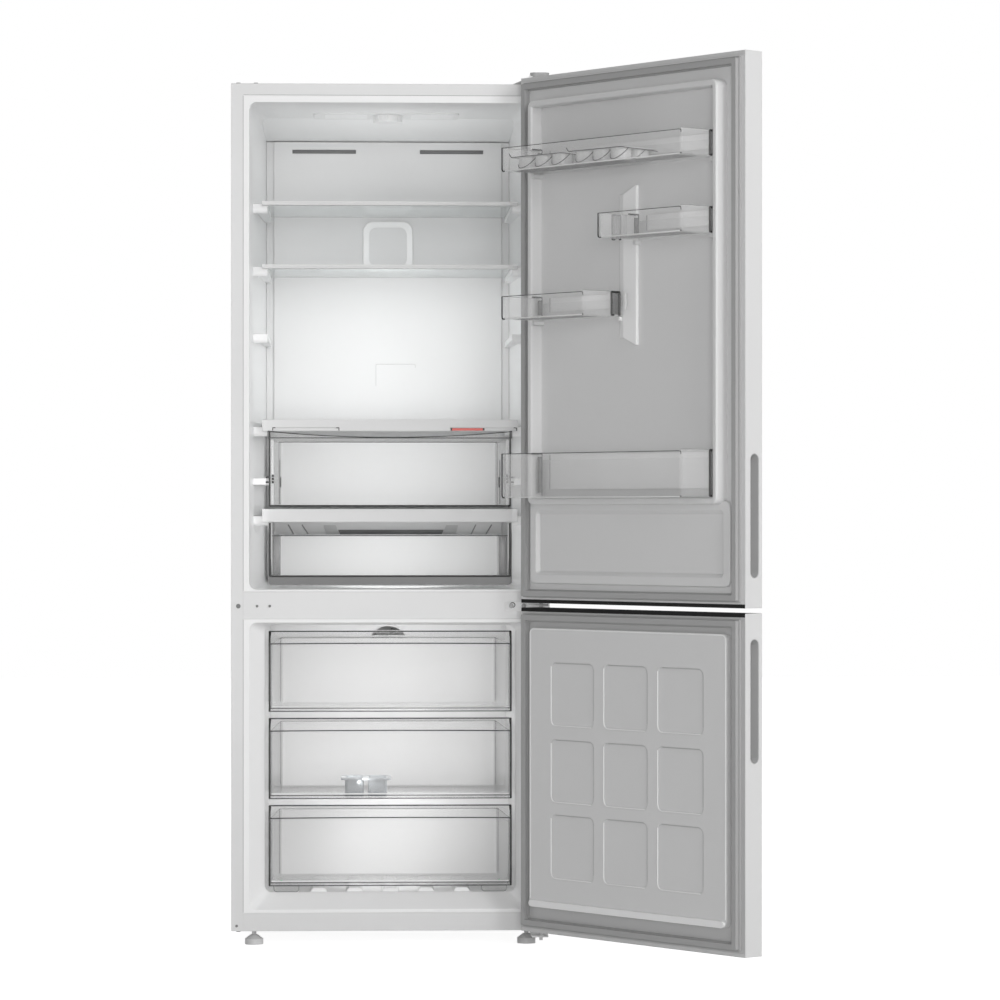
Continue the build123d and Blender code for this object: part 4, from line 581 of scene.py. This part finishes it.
# ---- chill drawer: dark lines of painted shade along its edges and stops, and strips of painted highlight down its sides
CHILL_FRONT, CHILL_WINDOW, CHILL_BACK = 104.4, 109.9, 455.0
CHILL_HALF, CHILL_BACK_HALF = 267.6, 252.6
CHILL_WALL_TOP, CHILL_EAR_TOP, CHILL_SAG_LOW, CHILL_SAG_RISE = 1112, 1131, 1117.4, 12.6
STOP_LOWS, STOP_HEIGHT = (1015.0, 1022.0, 1029.0), 5.4
black, thin, painted_side_glints, stops = Piece(), Piece(), Piece(), Piece()
for sign in (-1, 1):
    edge, ear, inner, back_edge = sign * CHILL_HALF, sign * 271.0, sign * 244.8, sign * CHILL_BACK_HALF
    black.tube([(edge, CHILL_FRONT, 964), (edge, CHILL_FRONT, CHILL_EAR_TOP)], 1.5)
    ear_edge = ((edge, CHILL_EAR_TOP), (ear, CHILL_EAR_TOP), (ear, 1115))
    thin.tube([(x, CHILL_FRONT, z) for x, z in ear_edge], 0.9)
    thin.tube([(inner, CHILL_WINDOW, 969), (inner, CHILL_WINDOW, 1067)], 0.9)
    black.tube([(sign * 243.4, CHILL_WINDOW, 1006), (sign * 243.4, CHILL_WINDOW, 1029)], 1.9)
    thin.tube([(back_edge, CHILL_BACK, 968), (back_edge, CHILL_BACK, CHILL_WALL_TOP)], 0.8)
    rim_z = CHILL_WALL_TOP + 0.4
    thin.tube([(back_edge, CHILL_BACK - 1, rim_z), (sign * 265.0, 112.0, rim_z)], 0.8)
    left, right = span(sign, 258.6, 264.6)
    painted_side_glints.block((left, 109.2, 966), (right, 110.4, CHILL_WALL_TOP), 0.3)
    left, right = span(sign, 258.2, 262.4)
    for low in STOP_LOWS:
        stops.block((left, 103.6, low), (right, 105.4, low + STOP_HEIGHT), 0.6)
black.tube([(-CHILL_HALF, CHILL_FRONT, 964.9), (CHILL_HALF, CHILL_FRONT, 964.9)], 2.0)
thin.tube([(-267.4, CHILL_FRONT, 1116.0), (267.4, CHILL_FRONT, 1116.0)], 0.9)
thin.tube([(-CHILL_BACK_HALF, CHILL_BACK - 1, 1112.6), (CHILL_BACK_HALF, CHILL_BACK - 1, 1112.6)], 1.3)
steps = 20
sag = []
for step in range(steps + 1):
    share = 2 * step / steps - 1
    sag.append((-267.4 + 534.8 * step / steps, CHILL_FRONT, CHILL_SAG_LOW + CHILL_SAG_RISE * share**2))
thin.tube(sag, 1.0)
black.finish("chill_drawer_edges", painted_edge_shade_black, "chill_drawer", "clear_drawer")
thin.finish("chill_drawer_rims", painted_edge_shade, "chill_drawer", "clear_drawer")
painted_side_glints.finish("chill_drawer_side_glints", clear_painted_highlight, "chill_drawer", "clear_drawer")
stops.finish("chill_drawer_stops", painted_edge_shade_black, "chill_drawer", "clear_drawer")

# ---- front ends of the runners, and of the chill drawer's flanges that slide on them, darkened with painted shade
runner, flange = Piece(), Piece()
for sign in (-1, 1):
    left, right = span(sign, 269.5, 276.0)
    runner.block((left, 109.6, 1015.5), (right, 112.2, 1019.5), 0.8)
    flange.block((left, 119.8, 1026.6), (right, 121.6, 1030.2), 0.6)
runner.finish("runner_ends", painted_edge_shade_black, "cabinet", "fitting_white")
flange.finish("chill_flange_ends", painted_edge_shade_black, "chill_drawer", "clear_drawer")

# ---- crisper drawer: dark lines of painted shade round its front and window, and a darker band at each side of the window
CRISP_FRONT, CRISP_HALF, CRISP_LOW, CRISP_TOP, CRISP_RIM = 101.2, 266.8, 808.6, 927, 898.8
thin, rim, side_band = Piece(), Piece(), Piece()
corners = ((-1, CRISP_TOP), (-1, CRISP_LOW), (1, CRISP_LOW), (1, CRISP_TOP))
rim.tube([(sign * CRISP_HALF, CRISP_FRONT, z) for sign, z in corners], 2.0, bend=3)
thin.tube([(-261.4, 107.6, CRISP_RIM), (261.4, 107.6, CRISP_RIM)], 1.3)
thin.tube([(-256.0, 439.0, CRISP_RIM), (256.0, 439.0, CRISP_RIM)], 0.9)
for sign in (-1, 1):
    left, right = span(sign, 243.0, 261.0)
    side_band.block((left, 110.4, 811), (right, 111.6, 898), 0.3)
rim.finish("crisper_front_rim", painted_edge_shade_black, "crisper_drawer", "drawer_dark")
thin.finish("crisper_window_rim", painted_edge_shade, "crisper_drawer", "drawer_dark")
side_band.finish("crisper_side_bands", clear_smoke, "crisper_drawer", "drawer_dark")

# ---- relief low on the back panel, seen over the crisper's window, drawn as flat plates: painted shade in its recess and on its flanks, and lines of painted shadow at its ribs' ends
PANEL_FACE, RELIEF_DEPTH = 518.2, (0, 2, 0)
RECESS = ((-116, 910), (-109, 893), (123, 893), (130, 910))
LEFT_FLANK = ((-150, 921), (-142, 893), (-110, 893), (-122, 921))
RIGHT_FLANK = ((164, 921), (156, 893), (124, 893), (136, 921))
RIB_ENDS = ((-200, -182), (-232, -216), (205, 191), (242, 225))
dark, mid, pale = Piece(), Piece(), Piece()
for piece, outline in ((dark, RECESS), (mid, LEFT_FLANK), (mid, RIGHT_FLANK)):
    piece.plate([(x, PANEL_FACE, z) for x, z in outline], RELIEF_DEPTH)
for left, right in RIB_ENDS:
    pale.tube([(left, PANEL_FACE + 0.8, 922), (right, PANEL_FACE + 0.8, 894)], 1.4)
dark.finish("panel_low_recess", slot_painted_shade, "cabinet", "fitting_white")
mid.finish("panel_low_flanks", soft_painted_shade, "cabinet", "fitting_white")
pale.finish("panel_low_ribs", line_shadow, "cabinet", "fitting_white")

# ---- humidity slider's ends, and the ends of the grooves beside it, darkened with painted shade
SLIDER_ENDS = (135.0, 206.5)
GROOVE_ENDS = ((-260.6, 1), (-113.4, -1), (281.6, -1))
GROOVE_FACE = 105.2
ends, marks = Piece(), Piece()
for left in SLIDER_ENDS:
    ends.block((left, 104.4, 1132.6), (left + 3.5, 107.2, 1138.0), 0.5)
for at, turn_in in GROOVE_ENDS:
    hooked = ((at, 1132.4), (at, 1138.4), (at + turn_in * 6, 1138.8))
    marks.tube([(x, GROOVE_FACE, z) for x, z in hooked], 0.9)
ends.finish("slider_ends", painted_edge_shade_black, "humidity_slider", "slider_red")
marks.finish("groove_end_shade", painted_edge_shade, "cabinet", "fitting_white")

# ---- freezer drawers: dark lines of painted shade along their edges, and a strip of painted highlight low on each front
FREEZER = {  # name: its top and its back
    "top_freezer_drawer": (687.7, 455.0),
    "middle_freezer_drawer": (495.2, 455.0),
    "bottom_freezer_drawer": (302.7, 320.0),
}
FREEZER_HEIGHT, FREEZER_LIP_DROP = 177.5, 27.7
FREEZER_FRONT, FREEZER_TOP_FRONT = 47.2, 56.2  # the front leans back over its lip
FREEZER_EDGE, FREEZER_WIDEST, FREEZER_INNER, FREEZER_BACK_HALF = 266.4, 267.0, 266.0, 249.0
for name, (top, back) in FREEZER.items():
    low, lip = top - FREEZER_HEIGHT, top - FREEZER_LIP_DROP
    black, thin, pale, bright = Piece(), Piece(), Piece(), Piece()
    at, far = FREEZER_FRONT, back - 1
    for sign in (-1, 1):
        edge, outer = sign * FREEZER_EDGE, sign * 268.0
        black.tube([(edge, FREEZER_TOP_FRONT, top), (edge, at - 0.4, lip), (edge, at - 0.4, low + 1)], 2.2)
        wedge = [
            (outer, at + 1, lip - 2), (outer, 57.0, top), (sign * 262.5, 57.0, top),
            (sign * FREEZER_INNER, at + 1, lip - 2),
        ]
        black.plate(wedge, (0, 1.2, 0))
        pale.tube([(sign * 263.0, at, lip), (sign * 263.0, at, low + 9)], 0.5)
        thin.tube([(sign * FREEZER_BACK_HALF, far, lip), (sign * FREEZER_BACK_HALF, far, low + 4)], 0.8)
        thin.tube([(sign * FREEZER_BACK_HALF, far, lip), (sign * 264.0, 58, lip)], 0.7)
        left, right = span(sign, 266, 268)
        black.block((left, at - 0.6, low), (right, at + 2.0, low + 9), 0.5)
    thin.tube([(x, FREEZER_TOP_FRONT, top - 0.3) for x in (-FREEZER_WIDEST, FREEZER_WIDEST)], 1.4)
    arch = []
    for step in range(17):
        rise = 1.2 * (1 - (step / 8 - 1) ** 2)
        arch.append((-FREEZER_INNER + 2 * FREEZER_INNER * step / 16, at, lip + rise))
    thin.tube(arch, 1.2)
    thin.tube([(-FREEZER_BACK_HALF, far, lip), (FREEZER_BACK_HALF, far, lip)], 0.8)
    thin.tube([(-FREEZER_INNER, at, low + 7.6), (FREEZER_INNER, at, low + 7.6)], 0.8)
    black.tube([(-FREEZER_WIDEST, at, low + 1.0), (FREEZER_WIDEST, at, low + 1.0)], 1.1)
    bright.block((-262.0, at - 0.4, low + 9.5), (262.0, at + 0.6, low + 12.5), 0.4)
    black.finish(f"{name}_edges", painted_edge_shade_black, name, "clear_drawer")
    thin.finish(f"{name}_rims", painted_edge_shade, name, "clear_drawer")
    pale.finish(f"{name}_far_rims", painted_edge_shade_pale, name, "clear_drawer")
    bright.finish(f"{name}_glint", clear_painted_highlight, name, "clear_drawer")

# ---- edges of the bottom drawer's feet, traced with painted shade, and a small mark over each
FOOT_FACE, FOOT_HEIGHT, MARK_FACE = 49.6, 12.4, 46.8
feet, dots = Piece(), Piece()
low = FREEZER["bottom_freezer_drawer"][0] - FREEZER_HEIGHT
foot_low = low - FOOT_HEIGHT
for sign in (-1, 1):
    outline = ((201.5, low), (203.0, foot_low), (256.0, foot_low), (257.5, low))
    feet.tube([(sign * x, FOOT_FACE, z) for x, z in outline], 0.8, bend=6)
    dots.tube([(sign * 240.5, MARK_FACE, 137.0), (sign * 240.5, MARK_FACE, 139.2)], 1.0)
feet.finish("drawer_foot_edges", painted_edge_shade_pale, "bottom_freezer_drawer", "clear_drawer")
dots.finish("drawer_marks", mark_green, "bottom_freezer_drawer", "clear_drawer")

# ---- shelves: a bright bead along each glass's front, and a soft line of painted shade along its back
SHELF_TOPS = (1640.0, 1500.0)
SHELF_BEAD_HALF, SHELF_BACK_HALF, SHELF_BACK = 284.0, 280.0, 505.2
for number, top in enumerate(SHELF_TOPS):
    bead, under = Piece(), Piece()
    bead.block((-SHELF_BEAD_HALF, 79.2, top - 2.2), (SHELF_BEAD_HALF, 82.0, top + 0.2), 0.6)
    under.tube([(-SHELF_BACK_HALF, SHELF_BACK, top - 2), (SHELF_BACK_HALF, SHELF_BACK, top - 2)], 1.2)
    bead.finish(f"shelf_bead_{number + 1}", fitting_white, "cabinet", "fitting_white")
    under.finish(f"shelf_back_edge_{number + 1}", soft_painted_shade, "cabinet", "shelf_glass")

# ---- side lips of the freezer's air cover, and a ring of painted shade round the middle hinge's screw
HINGE_FACE, SCREW_X, SCREW_Z, SCREW_RING = -3.4, 268.2, 746.7, 5.2
lips, ring = Piece(), Piece()
for sign in (-1, 1):
    left, right = span(sign, 261.5, 273.5)
    lips.block((left, 468.0, 340.0), (right, 470.0, 694.0), 0.4)
turns = [pi * step / 10 for step in range(20)]
around = [(SCREW_X + SCREW_RING * cos(turn), HINGE_FACE, SCREW_Z + SCREW_RING * sin(turn)) for turn in turns]
ring.tube(around, 0.9, closed=True)
lips.finish("air_cover_lips", fitting_white, "cabinet", "fitting_white")
ring.finish("hinge_screw_ring", painted_edge_shade, "cabinet", "hinge_metal")

# ---- back panel: a line of painted shade along an embossed corner, and painted shade inside the slots
BRACKET_FACE = 519.8
BRACKET_X, BRACKET_Z = (-27.9, 64.0), (1245.0, 1296.0)
bracket, slots = Piece(), Piece()
(left, right), (low, high) = BRACKET_X, BRACKET_Z
corners = ((left, low), (left, high), (right, high), (right, high - 8))
bracket.tube([(x, BRACKET_FACE, z) for x, z in corners], 0.7, bend=3)
bracket.finish("panel_bracket", soft_painted_shade, "cabinet", "fitting_white")
for sign in (-1, 1):
    left, right = span(sign, 74.4, 222.3)
    slots.block((left, 524.5, 1786.4), (right, 527.5, 1795.0), 0.4)
slots.finish("panel_slot_shade", slot_painted_shade, "cabinet", "fitting_white")

# ---- lower door's liner: painted highlights along the lit edges of its dimples and its plate, and painted shade along the dimples' far edges
DIMPLES_ALONG = ((112.0, 251.0), (281.0, 419.0), (449.0, 589.0))
DIMPLES_UP = ((159.0, 298.0), (324.0, 460.0), (489.0, 626.0))
PLATE = 13.0  # height of the plate over the liner's base
PLATE_LEFT, PLATE_RIGHT, PLATE_LOW, PLATE_HIGH = 45, 655, 112, 697.5
DIMPLE_BEND = 16
lit, dim = Piece(food), Piece(food)
for left, right in DIMPLES_ALONG:
    for low, high in DIMPLES_UP:
        near_edges = ((left + 1, high - 8), (left + 1, low + 1), (right - 8, low + 1))
        lit.tube([(u, PLATE - 0.6, z) for u, z in near_edges], 1.3, bend=DIMPLE_BEND)
        far_edges = ((left + 16, high - 1), (right - 1, high - 1), (right - 1, low + 16))
        dim.tube([(u, PLATE - 1.0, z) for u, z in far_edges], 1.0, bend=DIMPLE_BEND)
corners = (
    (PLATE_LEFT, PLATE_LOW), (PLATE_LEFT, PLATE_HIGH), (PLATE_RIGHT, PLATE_HIGH), (PLATE_RIGHT, PLATE_LOW),
)
lit.tube([(u, PLATE - 0.8, z) for u, z in corners], 1.6, bend=12)
lit.finish("dimple_painted_highlights", door_liner_painted_light, "lower_door", "door_liner")
dim.finish("dimple_painted_shade", door_liner_painted_shade, "lower_door", "door_liner")

# ---- joint between the wrap's front return and the liners
JOINT_HALF, JOINT_FACE, JOINT_RADIUS = 323.3, 0.1, 0.5
JOINT_SPANS = ((72.0, 715.0), (778.0, 1865.0))  # freezer, fridge
joint = Piece()
for sign in (-1, 1):
    for low, high in JOINT_SPANS:
        x = sign * JOINT_HALF
        joint.tube([(x, JOINT_FACE, low), (x, JOINT_FACE, high)], JOINT_RADIUS, sides=6)
joint.tube([(-322.8, JOINT_FACE, 1866.6), (322.8, JOINT_FACE, 1866.6)], JOINT_RADIUS, sides=6)
joint.finish("return_joint_lines", line_shadow, "cabinet", "liner_white")

# ---------------------------------------------------------------- camera
FOCAL_PIXELS = 3894.6
PICTURE = 1000.0
SENSOR = 36.0
CAMERA_AT = cab(-102.14, -8561.1, 945.7)  # solved from the photo's edges
CAMERA_YAW = radians(2.2928)
HORIZON_DROP = 14.49

camera_data = bpy.data.cameras.new("camera")
camera_data.sensor_width = SENSOR
camera_data.lens = FOCAL_PIXELS / PICTURE * SENSOR
camera_data.shift_y = HORIZON_DROP / PICTURE
camera_data.clip_end = 100.0  # metres
camera = bpy.data.objects.new("camera", camera_data)
camera.location = CAMERA_AT
camera.rotation_euler = (pi / 2, 0.0, -CAMERA_YAW)
bpy.context.scene.collection.objects.link(camera)
bpy.context.scene.camera = camera


# ---------------------------------------------------------------- light, floor and background
def softbox(name, direction, distance, size, power, aim=Vector((0.0, 0.0, 0.95))):
    """A large soft lamp that stands off in a direction and faces the refrigerator."""
    data = bpy.data.lights.new(name, "AREA")
    data.shape = "DISK"
    data.size = size
    data.energy = power
    lamp = bpy.data.objects.new(name, data)
    lamp.location = aim + Vector(direction).normalized() * distance
    lamp.rotation_euler = (aim - lamp.location).to_track_quat("-Z", "Y").to_euler()
    bpy.context.scene.collection.objects.link(lamp)


softbox("key", (0.574, -0.819, 0.35), 6.0, 3.0, 122.0)
softbox("front_fill", (0.0, -1.0, 0.06), 8.0, 3.5, 166.0)
softbox("back_fill", (-0.4, 0.9, 0.5), 6.0, 3.5, 130.0)


def inner_light(name, at, size, turn, power, tilt=90.0):
    """A soft lamp within the cabinet that lights the inside; it isn't seen itself."""
    data = bpy.data.lights.new(name, "AREA")
    data.shape = "RECTANGLE"
    data.size = size[0] * MM
    data.size_y = size[1] * MM
    data.energy = power
    lamp = bpy.data.objects.new(name, data)
    lamp.location = cab(*at)
    lamp.rotation_euler = (radians(tilt), 0.0, radians(turn))
    lamp.visible_camera = False
    lamp.visible_glossy = False
    lamp.visible_transmission = False
    bpy.context.scene.collection.objects.link(lamp)


LAMP_ASIDE, LAMP_WIDTH, LAMP_TURN = 90.0, 110.0, 40.0
INNER_LAMPS = {  # name: distance behind the front, middle height, height, power of each of the two
    "inside_tall": (160.0, 1310.0, 270.0, 0.40),
    "inside_chill": (165.0, 1040.0, 120.0, 0.10),
    "inside_crisper": (165.0, 855.0, 70.0, 0.19),
    "inside_freezer_high": (104.0, 600.0, 120.0, 0.18),
    "inside_freezer_middle": (104.0, 408.0, 120.0, 0.21),
    "inside_freezer_low": (104.0, 215.0, 120.0, 0.12),
}
for name, (y, z, high, power) in INNER_LAMPS.items():
    for side, sign in (("left", 1), ("right", -1)):
        inner_light(f"{name}_{side}", (sign * LAMP_ASIDE, y, z), (LAMP_WIDTH, high), sign * LAMP_TURN, power)
# one under the ceiling, and one towards each wall beside the two inner drawers
WIDE_LAMP = (400.0, 300.0)
inner_light("inside_ceiling", (0.0, 260.0, 1690.0), WIDE_LAMP, 0.0, 0.22, tilt=180.0)
for side, sign in (("left", -1), ("right", 1)):
    inner_light(f"inside_gap_{side}", (sign * 272.0, 260.0, 950.0), WIDE_LAMP, sign * -90.0, 0.12)


def seen_rays(tree):
    """A node whose value is 1 for camera, glossy and transmission rays, and 0 for all others."""
    nodes, links = tree.nodes, tree.links
    path = nodes.new("ShaderNodeLightPath")
    camera_or_glossy = nodes.new("ShaderNodeMath")
    camera_or_glossy.operation = "MAXIMUM"
    links.new(path.outputs["Is Camera Ray"], camera_or_glossy.inputs[0])
    links.new(path.outputs["Is Glossy Ray"], camera_or_glossy.inputs[1])
    any_seen = nodes.new("ShaderNodeMath")
    any_seen.operation = "MAXIMUM"
    links.new(camera_or_glossy.outputs["Value"], any_seen.inputs[0])
    links.new(path.outputs["Is Transmission Ray"], any_seen.inputs[1])
    return any_seen


world = bpy.data.worlds.new("studio")
world.use_nodes = True
bpy.context.scene.world = world
tree = world.node_tree
ambient = tree.nodes["Background"]
ambient.inputs["Color"].default_value = (1.0, 1.0, 1.0, 1.0)
ambient.inputs["Strength"].default_value = 0.22
white = tree.nodes.new("ShaderNodeBackground")
white.inputs["Color"].default_value = (1.0, 1.0, 1.0, 1.0)
white.inputs["Strength"].default_value = 1.0
mix = tree.nodes.new("ShaderNodeMixShader")
seen = seen_rays(tree)
tree.links.new(seen.outputs["Value"], mix.inputs["Fac"])
tree.links.new(ambient.outputs["Background"], mix.inputs[1])
tree.links.new(white.outputs["Background"], mix.inputs[2])
tree.links.new(mix.outputs["Shader"], tree.nodes["World Output"].inputs["Surface"])

floor_material = bpy.data.materials.new("pale_floor")
floor_material.use_nodes = True
tree = floor_material.node_tree
matt = tree.nodes["Principled BSDF"]
matt.inputs["Roughness"].default_value = 0.85
matt.inputs["Base Color"].default_value = (0.82, 0.82, 0.82, 1.0)
shine = tree.nodes.new("ShaderNodeEmission")
shine.inputs["Strength"].default_value = 0.80
added = tree.nodes.new("ShaderNodeAddShader")
tree.links.new(matt.outputs["BSDF"], added.inputs[0])
tree.links.new(shine.outputs["Emission"], added.inputs[1])
mix = tree.nodes.new("ShaderNodeMixShader")
seen = seen_rays(tree)
tree.links.new(seen.outputs["Value"], mix.inputs["Fac"])
tree.links.new(matt.outputs["BSDF"], mix.inputs[1])
tree.links.new(added.outputs["Shader"], mix.inputs[2])
tree.links.new(mix.outputs["Shader"], tree.nodes["Material Output"].inputs["Surface"])

floor_mesh = bpy.data.meshes.new("studio_floor")
reach = 14.0  # metres each way
corners = [(-reach, -reach, 0.0), (reach, -reach, 0.0), (reach, reach, 0.0), (-reach, reach, 0.0)]
floor_mesh.from_pydata(corners, [], [(0, 1, 2, 3)])
floor_mesh.materials.append(floor_material)
floor = bpy.data.objects.new("studio_floor", floor_mesh)
bpy.context.scene.collection.objects.link(floor)

# ---------------------------------------------------------------- finish
bpy.context.scene.view_settings.view_transform = "Standard"
bpy.context.view_layer.update()
